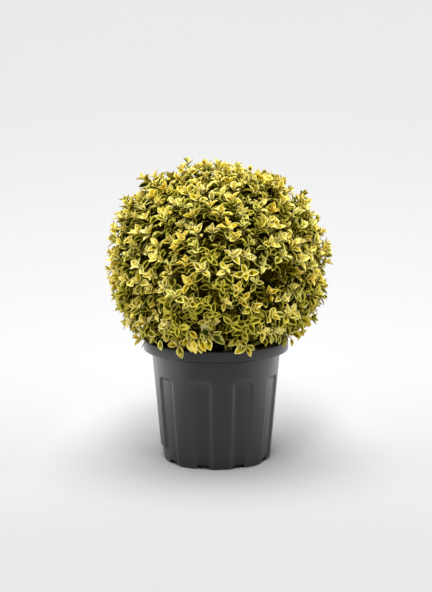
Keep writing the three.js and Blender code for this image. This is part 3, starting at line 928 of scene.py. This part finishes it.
def leaf_grid(length, width, margin, middle, cup, curl, wave, phase):
    """Points of each leaf before it is placed: along its length, across it, and up from its stalk.

    The strips' borders lie a margin's width in from the edge. The blade rises to both sides of its midrib,
    its edges wave, and it bends down with the square of the length."""
    u = LEAF_ROWS[None, :, None]
    half = leaf_half_width(u)
    uneven = 1 + MARGIN_WAVE * np.sin(2 * np.pi * (MARGIN_WAVES * u + phase))
    green = np.clip(1 - margin * uneven / half, *GREEN_LIMITS)
    inner = middle * green
    zero = 0 * green
    across = np.concatenate([zero - 1, -green, -inner, zero, inner, green, zero + 1], -1)
    side = across * half * width / 2
    ripples = wave * np.sin(2 * np.pi * (EDGE_WAVES * u + phase + EDGE_SLANT * across)) * across**2 * half
    rise = width / 2 * half * (cup * np.abs(across) ** CUP_CURVE + ripples) - curl * length * u**2
    return np.stack([np.broadcast_to(u * length, side.shape), side, rise], -1)


leaf_faces = grid_faces(len(LEAF_ROWS), STRIPS + 1)
print("one leaf:", len(leaf_faces), "faces")

# %% [markdown]
# ## Sprigs over the rim
#
# Where the ball meets the pot some leaves hang over the rim. Dark plastic behind them shows each one, so
# those at the front are set one by one and not by chance: a row tells where a leaf starts and ends in the
# photograph. The line of sight through the first place meets an upright cylinder round the pot, and there
# the leaf starts. The line of sight through the second place meets the plane that the leaf lies in, and
# there it ends. Whole stars with seeded strays go on round the back. A sprig's leaves are numbered in pairs
# down from its tip, and a leaf at the front is leaf 4 of a sprig that has lost the others.

# %% Lines of sight
SENSOR = 36.0  # millimetres along the picture's long side, as every new camera has
PICTURE_MIDDLE = np.array([216, 296])  # in pixels from the picture's upper left, as are all places in it
PIXEL = SENSOR / CAMERA_LENS / (2 * PICTURE_MIDDLE[1])  # across a pixel, 1 m ahead of the camera


def sight_ways(places):
    """Directions from the camera through places in the picture: ahead, and right and down by pixels."""
    off = (places - PICTURE_MIDDLE) * PIXEL
    return PICTURE_AHEAD + off[:, :1] * PICTURE_RIGHT - off[:, 1:] * PICTURE_UP


def meet_cylinder(ways, radius):
    """Where lines of sight first meet upright cylinders round the axis: the nearer root of a quadratic."""
    square = (ways[:, :2] ** 2).sum(1)
    product = ways[:, :2] @ CAMERA_PLACE[:2]
    rest = (CAMERA_PLACE[:2] ** 2).sum() - radius**2
    far = (-product - np.sqrt(product**2 - square * rest)) / square
    return CAMERA_PLACE + far[:, None] * ways


def meet_plane(ways, point, axis):
    """Where lines of sight meet planes, each through its own point and square to its own axis."""
    far = ((point - CAMERA_PLACE) * axis).sum(1) / (ways * axis).sum(1)
    return CAMERA_PLACE + far[:, None] * ways


print("a pixel at the plant is", round(PIXEL * np.linalg.norm(CAMERA_AIM - CAMERA_PLACE) * 1000, 2), "mm")

# %% Leaves set one by one
LEAF_CURL = 0.14  # how far the point of a leaf bends down, as a share of its length
LEAF_FOUR = 4
LEAF_FOUR_DEPTH = 0.007  # below the tip of its sprig
LEAF_FOUR_TURN = np.pi  # from the first leaf of its sprig
SPRIG_LIFT = 0.5
SPRIG_FACING = 40.0  # the furthest that a leaf faces to a side, in degrees
LEAF_SKEW = np.array([0.9, 0.1, 0.42])  # any direction that no shoot runs exactly along
RIM_LEAVES = [  # start x and y, end x and y, distance from the pot's axis, tint
    (178, 346, 167, 345, 0.140, "lemon"),
    (179, 346, 182, 359, 0.140, "lemon"),
    (179, 346, 185, 340, 0.141, "lemon"),
    (246, 346, 235, 354, 0.140, "lemon"),
    (246, 346, 250, 357, 0.140, "lemon"),
    (247, 346, 255, 350, 0.140, "lime"),
    (247, 346, 239, 341, 0.141, "lemon"),
    (188, 341, 191, 352, 0.139, "lemon"),
    (194, 343, 192, 353, 0.136, "olive"),
    (193, 340, 197, 354, 0.141, "gold"),
    (199, 342, 201, 354, 0.138, "lemon"),
    (200, 339, 206, 352, 0.141, "gold"),
    (207, 341, 204, 350, 0.137, "lime"),
    (207, 338, 210, 351, 0.140, "lemon"),
    (188, 337, 184, 347, 0.138, "gold"),
    (190, 331, 197, 338, 0.144, "gold"),
    (190, 331, 183, 332, 0.144, "lemon"),
    (190, 332, 187, 340, 0.143, "lemon"),
    (200, 334, 205, 340, 0.143, "lime"),
    (196, 338, 189, 341, 0.140, "lemon"),
    (204, 337, 197, 343, 0.141, "olive"),
    (237, 338, 232, 345, 0.141, "olive"),
    (160, 340, 161, 350, 0.139, "lime"),
    (174, 336, 162, 341, 0.139, "lime"),
    (157, 339, 149, 343, 0.138, "lemon"),
    (211, 337, 201, 328, 0.147, "green"),
    (212, 335, 225, 344, 0.146, "green"),
    (229, 342, 229, 351, 0.138, "green"),
    (264, 337, 265, 347, 0.139, "olive"),
    (272, 334, 271, 344, 0.139, "lime"),
    (279, 336, 278, 345, 0.138, "lime"),
    (285, 338, 284, 347, 0.137, "olive"),
    (291, 338, 292, 347, 0.137, "lemon"),
    (291, 334, 303, 337, 0.138, "lemon"),
]


def front_angles(points):
    """Angles round the axis in degrees: 0 is towards -Y and 90 towards +X."""
    return np.degrees(np.arctan2(points[..., 0], -points[..., 1]))


def level_ways(degrees):
    """Level directions at front angles."""
    return round_places(1.0, np.radians(degrees), 0.0)


def square_pair(axis, skew):
    """Two directions square to each axis and to each other. The first is square to the skew one as well."""
    first = unit(np.cross(axis, skew))
    return first, np.cross(axis, first)


def rim_spans(start, axis, ways):
    """From each leaf's start to where it would end if it were flat: the curl lowers the end from there."""
    span = meet_plane(ways, start, axis) - start
    drop = LEAF_CURL * np.linalg.norm(span, axis=1, keepdims=True) * axis
    return meet_plane(ways, start - drop, axis) + drop - start


rim_rows = np.array([row[:5] for row in RIM_LEAVES])
rim_start = meet_cylinder(sight_ways(rim_rows[:, :2]), rim_rows[:, 4])
rim_front = front_angles(rim_start)
rim_axis = unit(level_ways(np.clip(rim_front, -SPRIG_FACING, SPRIG_FACING)) + SPRIG_LIFT * UP)
rim_span = rim_spans(rim_start, rim_axis, sight_ways(rim_rows[:, 2:4]))
rim_aside, rim_behind = [(rim_span * way).sum(1) for way in square_pair(rim_axis, LEAF_SKEW)]
rim_turn = np.arctan2(rim_behind, rim_aside) - LEAF_FOUR_TURN
rim_size = np.linalg.norm(rim_span, axis=1) / LEAF_LENGTH
print("leaves set by hand:", len(RIM_LEAVES), "with lengths from", rim_size.min().round(2), "of a full one")

# %% Stars round the back
BACK_STARS = 6
STAR_FRONTS = (124.0, 236.0)  # the first one's and the last one's front angle in degrees
STAR_FRONT_STRAY = 5.0
STAR_RADIUS = 0.139
STAR_HEIGHT = 0.226
STAR_STRAY = 0.003
STAR_SIZE_STRAY = 0.1
SPRIG_HANG = 0.4
star = np.arange(BACK_STARS)
star_front = np.linspace(*STAR_FRONTS, BACK_STARS) + STAR_FRONT_STRAY * sway(star, 40)
star_radius = STAR_RADIUS + STAR_STRAY * sway(star, 41)
star_base = round_places(star_radius, np.radians(star_front), STAR_HEIGHT + STAR_STRAY * sway(star, 42))
sprig_base = np.concatenate([rim_start, star_base])
sprig_axis = np.concatenate([rim_axis, unit(level_ways(star_front) + SPRIG_LIFT * UP)])
sprig_turn = np.concatenate([rim_turn, 2 * np.pi * chance(star, 43)])
sprig_size = np.concatenate([rim_size, 1 + STAR_SIZE_STRAY * sway(star, 44)])
sprig_tints = [row[5] for row in RIM_LEAVES] + ["lemon"] * BACK_STARS
sprig_tip = sprig_base + LEAF_FOUR_DEPTH * sprig_axis
sprig_twig_way = unit(level_ways(np.concatenate([rim_front, star_front])) - SPRIG_HANG * UP)
print("sprigs:", len(sprig_tip), "of which", BACK_STARS, "are whole stars")

# %% [markdown]
# ## Branches and twigs
#
# Inside the ball the stem goes on as a leader. By the CAD model's rule each main branch leaves it low
# enough to climb to its shoot. A fine twig to each other shoot leaves the branch of the nearest main shoot.
# The shoots themselves are straight. Each limb could be a curve object with a thickness, but as rings of
# points carried along paths they are all worked out at once, and each tapers. The leader and the branches
# have the stem's bark, and the younger wood is olive.

# %% Limbs along paths
LEADER_SHARE = 0.5
LEADER_FORK = 0.282
LEADER_BEND = 0.85  # height that the leader bends towards, as a share of its top's
BRANCH_RISE = 0.6
BRANCH_SAG = 0.012
BRANCH_RADIUS = 0.0026
TWIG_FOOT_RADIUS = 0.00143
TWIG_TIP_RADIUS = 0.00077
TWIG_LENGTH = 0.045
LIMB_SKEW = np.array([0.31, 0.95, 0.12])
LEADER_STEPS, LEADER_SIDES = 12, 18
BRANCH_STEPS, BRANCH_SIDES = 7, 6


def bent_paths(start, bend, end, steps):
    """Quadratic curves from start to end that lean towards bend, for all limbs at once."""
    t = np.linspace(0, 1, steps)[:, None]
    return (1 - t) ** 2 * start[:, None] + 2 * t * (1 - t) * bend[:, None] + t**2 * end[:, None]


def limb_points(paths, first_radius, last_radius, sides):
    """Rings round each path: two directions square to it, times a radius that tapers from first to last."""
    aside, third = square_pair(unit(np.gradient(paths, axis=1)), LIMB_SKEW)
    angle = full_turn(sides)[:, None]
    ring = aside[:, :, None] * np.cos(angle) + third[:, :, None] * np.sin(angle)
    taper = first_radius + (last_radius - first_radius) * np.linspace(0, 1, paths.shape[1])
    return paths[:, :, None] + taper[:, None, None] * ring


def make_limbs(name, paths, first_radius, last_radius, sides):
    """One mesh of all the limbs along some paths, each a tube with closed ends."""
    count, steps = paths.shape[:2]
    faces = [repeated(part, count, steps * sides) for part in tube_faces(steps, sides)]
    return make_mesh(name, limb_points(paths, first_radius, last_radius, sides), faces)


leader_top = BALL_MIDDLE + UP * LEADER_SHARE * BALL_UP
leader_foot = stem_tip + UP * GAP
leader_bend = leader_top * [1, 1, LEADER_BEND]
main_end = main_tip - main_axis * TWIG_LENGTH
level_distance = np.hypot(*(main_end - BALL_MIDDLE)[:, :2].T)
fork_height = np.clip(main_end[:, 2] - BRANCH_RISE * level_distance, LEADER_FORK, leader_top[2])
fork = BALL_MIDDLE * [1, 1, 0] + fork_height[:, None] * UP
leader_path = bent_paths(leader_foot[None], leader_bend[None], leader_top[None], LEADER_STEPS)
branch_path = bent_paths(fork, 0.5 * (fork + main_end) - BRANCH_SAG * UP, main_end, BRANCH_STEPS)
leader = make_limbs("leader", leader_path, STEM_TIP, BRANCH_RADIUS, LEADER_SIDES)
branches = make_limbs("branches", branch_path, BRANCH_RADIUS, TWIG_FOOT_RADIUS, BRANCH_SIDES)
dress(leader, [bark.material], "bark", "clipped_ball")
dress(branches, [bark.material], "bark", "clipped_ball")

# %% Twigs that end in shoots
TWIG_START = 0.65  # how far along a main branch the finer twigs leave it
TWIG_SAG = 0.006
TWIG_STEPS, SHOOT_STEPS, TWIG_SIDES = 5, 3, 5
YOUNG_STEM = (0.13, 0.10, 0.012, 1)
side_tip = np.concatenate([fine_tip, inner_tip, sprig_base])
side_end = side_tip - TWIG_LENGTH * np.concatenate([fine_axis, inner_axis, sprig_twig_way])
nearest = np.argmin(np.linalg.norm(side_tip[:, None] - main_tip, axis=-1), axis=1)
side_start = (1 - TWIG_START) * fork[nearest] + TWIG_START * main_end[nearest]
side_bend = 0.5 * (side_start + side_end) - TWIG_SAG * UP
shoot_end = np.concatenate([main_tip, side_tip])
shoot_start = np.concatenate([main_end, side_end])
twig_paths = {
    "fine_twigs": bent_paths(side_start, side_bend, side_end, TWIG_STEPS),
    "shoots": bent_paths(shoot_start, 0.5 * (shoot_start + shoot_end), shoot_end, SHOOT_STEPS),
}
green_stem = Finish("young_stem")
green_stem.paint({"Base Color": YOUNG_STEM, "Roughness": 0.7, "Specular IOR Level": 0.15})
for name, path in twig_paths.items():
    twigs = make_limbs(name, path, TWIG_FOOT_RADIUS, TWIG_TIP_RADIUS, TWIG_SIDES)
    dress(twigs, [green_stem.material], "bark", "clipped_ball")

# %% [markdown]
# ## Rosettes
#
# The leaves stand in crossed pairs: each pair is turned a quarter from the one above it. At the tip they
# are small, upright and nearly all yellow. Further down they are full-sized, greener and spread wide, so a
# shoot that points at you looks like a star. One rosette could be copied, but then all would look
# alike and no single leaf could be left out. Here each leaf has its own place and strays, and those that
# would run into the pot, or hang below its rim without being a sprig's, are left out.

# %% Shoots and sprigs together
LOW_OPENING = 14.0  # degrees more for the lowest rosettes
OPENING_STRAY = 10.0
OPEN_HEIGHT = 0.42
OPEN_HEIGHT_RANGE = 0.16
SPRIG_OPENING = 38.0  # degrees more for a sprig
ROSETTE_SIZE = 0.91
LOW_GROWTH = 0.09
ROSETTE_STRAY = 0.14
tips = np.concatenate([main_tip, fine_tip, inner_tip, sprig_tip])
axes = np.concatenate([main_axis, fine_axis, inner_axis, sprig_axis])
kind_counts = [len(main_tip), len(fine_tip), len(inner_tip), len(RIM_LEAVES), BACK_STARS]
kind = np.repeat(["main", "fine", "inner", "rim", "star"], kind_counts)
is_sprig = np.isin(kind, ["rim", "star"])
shoot_number = np.flatnonzero(~is_sprig)
turns = np.concatenate([2 * np.pi * chance(shoot_number, 4), sprig_turn])
lowness = np.clip((OPEN_HEIGHT - tips[shoot_number, 2]) / OPEN_HEIGHT_RANGE, 0, 1)
opening = OPENING_STRAY * sway(shoot_number, 7) + LOW_OPENING * lowness
openings = np.concatenate([opening, np.full(len(sprig_tip), SPRIG_OPENING)])
shoot_size = ROSETTE_SIZE + LOW_GROWTH * lowness + ROSETTE_STRAY * sway(shoot_number, 8)
sizes = np.concatenate([shoot_size, sprig_size])
print("rosettes:", len(tips), "of which", int(is_sprig.sum()), "hang over the rim")

# %% Frames for the leaves
PAIR_DEPTH = np.array([-0.002, 0.002, 0.007, 0.014, 0.022, 0.031])  # below the tip of the shoot
PAIR_SIZE = np.array([0.48, 0.80, 1.0, 0.98, 0.95, 0.92])
PAIR_TILT = np.array([16.0, 34.0, 52.0, 62.0, 68.0, 74.0])  # degrees from the shoot's axis
TURN_STRAY = 0.30  # radians
TILT_STRAY = 13.0  # degrees
LEAF_ROLL = 0.45  # radians, either way about a leaf's own length
SIZE_STRAY = 0.16
SPRIG_LOOSENESS = 0.25
leaves_each = 2 * len(PAIR_DEPTH)


def leaf_frames(tip, axis, turn, opened, size, loose):
    """For each shoot, pair and side: where a leaf starts, the way it runs, its upper face, and its size.

    Loose is how much of the usual strays in turn, tilt, roll and size a shoot has."""
    pairs = len(PAIR_DEPTH)
    number = np.arange(len(tip) * leaves_each).reshape(len(tip), pairs, 2)
    stem_way = axis[:, None, None]
    turn, opened, size, loose = [value[:, None, None] for value in (turn, opened, size, loose)]
    first, second = square_pair(stem_way, LEAF_SKEW)
    quarter = np.arange(pairs)[:, None] * np.pi / 2 + np.arange(2) * np.pi
    around = (turn + quarter + TURN_STRAY * loose * sway(number, 11))[..., None]
    out = np.cos(around) * first + np.sin(around) * second
    tilt = np.radians(PAIR_TILT[:, None] + opened + TILT_STRAY * loose * sway(number, 12))[..., None]
    along = np.cos(tilt) * stem_way + np.sin(tilt) * out
    square = np.sin(tilt) * stem_way - np.cos(tilt) * out
    roll = (LEAF_ROLL * loose * sway(number, 10))[..., None]
    face = np.cos(roll) * square + np.sin(roll) * np.cross(along, square)
    start = tip[:, None, None] - PAIR_DEPTH[:, None, None] * stem_way + 0 * out
    scale = PAIR_SIZE[:, None] * size * (1 + SIZE_STRAY * loose * sway(number, 13))
    return start.reshape(-1, 3), along.reshape(-1, 3), face.reshape(-1, 3), scale.ravel()


looseness = np.where(is_sprig, SPRIG_LOOSENESS, 1.0)
start, along, face, scale = leaf_frames(tips, axes, turns, openings, sizes, looseness)
print("leaves to place:", len(start))

# %% Place the leaves
PAIR_MARGIN = np.array([0.40, 0.36, 0.33, 0.28, 0.24, 0.20])  # of half a leaf's width
PAIR_MIDDLE = np.array([0.20, 0.28, 0.38, 0.50, 0.62, 0.70])  # of what lies inside the margins
WIDTH_STRAY = 0.12
MARGIN_STRAY = 0.07
MIDDLE_STRAY = 0.12
CUP, CUP_STRAY = 0.48, 0.22
CURL_STRAY = 0.13
WAVE, WAVE_STRAY = 0.10, 0.08


def vary(middle, stray, purpose):
    """One number for each leaf, shaped to multiply a grid: a middle value and a seeded stray."""
    return (middle + stray * sway(leaf_number, purpose))[:, None, None]


leaf_number = np.arange(len(start))
pair_of_leaf = np.tile(np.repeat(np.arange(len(PAIR_DEPTH)), 2), len(tips))
leaf_shapes = leaf_grid(
    LEAF_LENGTH * scale[:, None, None],
    vary(1, WIDTH_STRAY, 14) * LEAF_WIDTH * scale[:, None, None],
    vary(PAIR_MARGIN[pair_of_leaf], MARGIN_STRAY, 15),
    vary(PAIR_MIDDLE[pair_of_leaf], MIDDLE_STRAY, 20),
    vary(CUP, CUP_STRAY, 16),
    vary(LEAF_CURL, CURL_STRAY, 17),
    vary(WAVE, WAVE_STRAY, 18),
    chance(leaf_number, 19)[:, None, None],
)
turned_frames = np.stack([along, np.cross(along, face), face], 1)
leaf_points = start[:, None] + leaf_shapes.reshape(len(start), -1, 3) @ turned_frames
print("points on each leaf:", leaf_points.shape[1])

# %% Keep the leaves that have room
INNER_PAIRS = 3
SPRIG_PAIRS = 4
SPRIG_ROOM = 0.009
RIM_GAP_FRONT = 3.5  # front angle in degrees, where compost shows
RIM_GAP_HALF = 4.5
RIM_GAP_HEIGHT = 0.2245
LOWEST_LEAF = 0.207  # apart from the sprigs
POT_CLEARANCE = 0.0012
LEAF_OVERREACH = 1.06


def in_pot(points):
    """True where a point lies in the filled pot: inside its outline, below the rim or below the compost."""
    radius = np.hypot(points[..., 0], points[..., 1])
    mouth = pot_inside - POT_CLEARANCE
    on_rim = (radius > mouth) & (radius < RIM_RADIUS + POT_CLEARANCE)
    below_rim = points[..., 2] < POT_HEIGHT + POT_CLEARANCE
    below_fill = points[..., 2] < SOIL_TOP + POT_CLEARANCE
    return (on_rim & below_rim) | ((radius <= mouth) & below_fill)


from_middle = leaf_points - BALL_MIDDLE
beyond = np.linalg.norm(from_middle, axis=-1) / reach(unit(from_middle))
crowds = np.linalg.norm(tips[:, None] - sprig_base, axis=-1).min(1) < SPRIG_ROOM
in_gap = np.abs(front_angles(leaf_points) - RIM_GAP_FRONT) < RIM_GAP_HALF
in_gap &= leaf_points[..., 2] < RIM_GAP_HEIGHT
leaf_kind = np.repeat(kind, leaves_each)
sprig_leaf = np.repeat(is_sprig, leaves_each)
kept = ~in_pot(leaf_points).any(1) & ~in_gap.any(1)
kept &= sprig_leaf | (beyond.max(1) < LEAF_OVERREACH)
kept &= sprig_leaf | ~np.repeat(crowds, leaves_each)
kept &= sprig_leaf | (leaf_points[..., 2].min(1) > LOWEST_LEAF)
kept &= (leaf_kind != "inner") | (pair_of_leaf < INNER_PAIRS)
kept &= (leaf_kind != "star") | (pair_of_leaf < SPRIG_PAIRS)
kept &= (leaf_kind != "rim") | (leaf_number % leaves_each == LEAF_FOUR)
print("leaves kept:", int(kept.sum()), "of", len(kept))

# %% [markdown]
# ## Leaf colours
#
# From a step away the ball is a mix of creamy, lemon and golden shoots, with limes and olives between.
# Every shoot gets one tint, and a tint is three plain colours: the leaf's middle, the band beside it and
# the edge. Plain colours need no baking when the model is exported, as a painted attribute would. The
# three youngest pairs show the tint. Older pairs are olive or lime, unless their shoot is darker than
# that: partly the older leaves' own colour, partly painted shade for leaves that sit under the young ones.
# Paler tints are commoner near the top and darker ones low down: partly paler growth in full light, partly
# painted shade on the lower ball. The shoots further in are mostly olive or the nearly black shade tint,
# which is painted shade. Plain green is for a few leaves over the rim alone.

# %% Deal the tints out by shoot
TINTS = {  # middle, band and edge
    "cream": ((0.15, 0.126, 0.002), (0.61, 0.49, 0.035), (0.96, 0.875, 0.35)),
    "lemon": ((0.102, 0.085, 0.001), (0.535, 0.41, 0.009), (0.95, 0.835, 0.24)),
    "gold": ((0.122, 0.088, 0.001), (0.58, 0.40, 0.006), (0.95, 0.785, 0.16)),
    "lime": ((0.055, 0.061, 0.001), (0.345, 0.31, 0.007), (0.91, 0.84, 0.25)),
    "olive": ((0.033, 0.036, 0.001), (0.118, 0.106, 0.002), (0.66, 0.575, 0.075)),
    # The shade tint is painted shade: nearly black, far darker than a leaf is.
    "shade": ((0.021, 0.0160, 0.0004), (0.042, 0.032, 0.001), (0.21, 0.165, 0.010)),
    "green": ((0.028, 0.036, 0.003), (0.055, 0.062, 0.005), (0.40, 0.37, 0.08)),
}
# Paler high on the ball and darker low down: partly paler growth in full light, partly painted shade.
HIGH_SHARES = np.array([0.24, 0.46, 0.12, 0.14, 0.04, 0.00, 0.00])  # of the tints, in that order
LOW_SHARES = np.array([0.05, 0.36, 0.13, 0.18, 0.26, 0.02, 0.00])
# Shoots further in take mostly olive and the shade tint, darkened as painted shade.
INNER_HIGH_SHARES = np.array([0.0, 0.0, 0.0, 0.15, 0.50, 0.35, 0.0])
INNER_LOW_SHARES = np.array([0.0, 0.0, 0.0, 0.0, 0.15, 0.85, 0.0])
TINT_LOW, TINT_HIGH = 0.24, 0.48  # heights between which the mix changes
TINT_NUMBER = {name: number for number, name in enumerate(TINTS)}
leaf_materials = []
for name, zone_colours in TINTS.items():
    for zone, colour in zip(("middle", "band", "edge"), zone_colours):
        skin = Finish(f"leaf_{name}_{zone}")
        skin.paint({"Base Color": (*colour, 1), "Roughness": 0.5, "Specular IOR Level": 0.0})
        leaf_materials.append(skin.material)

# The mix slides from the low shares to the high ones with height. Its darker low end is partly painted
# shade.
climb = np.clip((tips[:, 2] - TINT_LOW) / (TINT_HIGH - TINT_LOW), 0, 1)[:, None]
is_inner = (kind == "inner")[:, None]
high_shares = np.where(is_inner, INNER_HIGH_SHARES, HIGH_SHARES)
low_shares = np.where(is_inner, INNER_LOW_SHARES, LOW_SHARES)
shares = climb * high_shares + (1 - climb) * low_shares
tint = (chance(np.arange(len(tips)), 21)[:, None] > np.cumsum(shares, axis=1)[:, :-1]).sum(1)
tint[is_sprig] = [TINT_NUMBER[name] for name in sprig_tints]
print("shoots of each tint:", dict(zip(TINTS, np.bincount(tint, minlength=len(TINTS)).tolist())))

# %% Zones on each leaf
ZONE_STRIPS = [2, 1, 0, 0, 1, 2]  # across a leaf: edge, band, middle, middle, band, edge
YOUNG_PAIRS = 3
YOUNG_MIDDLE_ROWS = 4  # steps from the stalk after which a young leaf has no dark middle
TO_EDGE = 0.10
TO_MIDDLE = 0.86
FACE_NUMBERS = 61  # more than a leaf has faces, so that no two faces share a chance
PALE_CHANCE = np.array([0.8, 0.30, 0.08, 0.0, 0.0, 0.0])  # by pair, the youngest first
OLD_LEAVES = 0.72  # share of the older pairs' leaves that are olive, partly painted shade under the young pairs. The others are lime


def leaf_zones(numbers, tints):
    """The material of each face: the edge strips and the point are edge-coloured, then band, then middle.

    Here and there a band face takes its neighbour's colour, which makes the border ragged. The middle of a
    young leaf ends sooner, and in some leaves each zone is one step paler."""
    strip = np.tile(ZONE_STRIPS, (len(LEAF_ROWS) - 1, 1))
    strip[-1] = 2
    strip[-2] = np.maximum(strip[-2], 1)
    young_strip = strip.copy()
    young_strip[YOUNG_MIDDLE_ROWS:] = np.maximum(young_strip[YOUNG_MIDDLE_ROWS:], 1)
    pair = pair_of_leaf[numbers]
    zone = np.where((pair < YOUNG_PAIRS)[:, None], young_strip.reshape(1, -1), strip.reshape(1, -1))
    luck = chance(numbers[:, None] * FACE_NUMBERS + np.arange(zone.shape[1]), 22)
    zone = np.where((zone == 1) & (luck < TO_EDGE), 2, zone)
    zone = np.where((zone == 1) & (luck > TO_MIDDLE), 0, zone)
    pale = chance(numbers, 24) < PALE_CHANCE[pair]
    zone = np.minimum(zone + pale[:, None], 2)
    return (tints[:, None] * 3 + zone).ravel()


shoot_tint = np.repeat(tint, leaves_each)
# Older pairs turn olive or lime: partly the older leaves' own colour, partly painted shade.
old_tint = np.where(chance(leaf_number, 23) < OLD_LEAVES, TINT_NUMBER["olive"], TINT_NUMBER["lime"])
leaf_tint = np.where(pair_of_leaf < YOUNG_PAIRS, shoot_tint, np.maximum(shoot_tint, old_tint))
chosen = np.flatnonzero(kept)
by_height = chosen[np.argsort(leaf_points[chosen, :, 2].mean(1))]
leaf_pieces = ("leaves_skirt", "leaves_low", "leaves_lower", "leaves_upper", "leaves_high", "leaves_crown")
for name, group in zip(leaf_pieces, np.array_split(by_height, len(leaf_pieces))):
    faces = repeated(leaf_faces, len(group), leaf_points.shape[1])
    leaves = make_mesh(name, leaf_points[group], [faces], leaf_zones(group, leaf_tint[group]))
    dress(leaves, leaf_materials, "foliage", "clipped_ball")

# %% [markdown]
# ## Shaded leaves
#
# Behind the shoots stand older leaves that get little light. They are a nearly black olive, which is painted
# shade, and they close the view through the ball. They need no variegation, so each is a small folded blade
# of a few faces.

# %% Fill the inside
SHADED_LEAVES = 4200
SHADED_SEED = 77
SHADED_SIZE = 1.2
SHADED_DEPTHS = (0.58, 0.80)  # shares of the reach
SHADED_STRAY = 0.55
SHADED_FOLD = 0.35
SHADED_ROWS = np.array([0, 0.3, 0.65, 1.0])
SHADED_ENDS = (0.04, 0.96)  # places on the outline's arch that give both ends their width
# Nearly black: painted shade, darker than such leaves are.
SHADED_COLOUR = (0.025, 0.020, 0.001, 1)


def shaded_leaves(count):
    """Folded blades at seeded depths inside the ball, each turned its own way but facing outwards."""
    draw = np.random.default_rng(SHADED_SEED)
    direction = unit(draw.normal(size=(count, 3)))
    depth = draw.uniform(*SHADED_DEPTHS, count)
    middle = BALL_MIDDLE + direction * (reach(direction) * depth)[:, None]
    face = unit(direction + SHADED_STRAY * draw.normal(size=(count, 3)))
    way = unit(np.cross(face, draw.normal(size=(count, 3))))
    half = np.sin(np.pi * np.clip(SHADED_ROWS, *SHADED_ENDS)) * LEAF_WIDTH / 2 * SHADED_SIZE
    across = np.stack([-half, 0 * half, half], -1)
    ahead = np.broadcast_to((SHADED_ROWS * LEAF_LENGTH * SHADED_SIZE)[:, None], across.shape)
    blade = np.stack([ahead, across, SHADED_FOLD * np.abs(across)], -1).reshape(-1, 3)
    frames = np.stack([way, np.cross(way, face), face], 1)
    return middle[:, None] + blade @ frames


shaded_points = shaded_leaves(SHADED_LEAVES)
shaded_points = shaded_points[~in_pot(shaded_points).any(1)]
shaded_faces = repeated(grid_faces(len(SHADED_ROWS), 3), len(shaded_points), 3 * len(SHADED_ROWS))
shaded = make_mesh("leaves_shaded", shaded_points, [shaded_faces])
shade = Finish("leaf_shaded")
shade.paint({"Base Color": SHADED_COLOUR, "Roughness": 0.8, "Specular IOR Level": 0.0})
dress(shaded, [shade.material], "foliage", "clipped_ball")
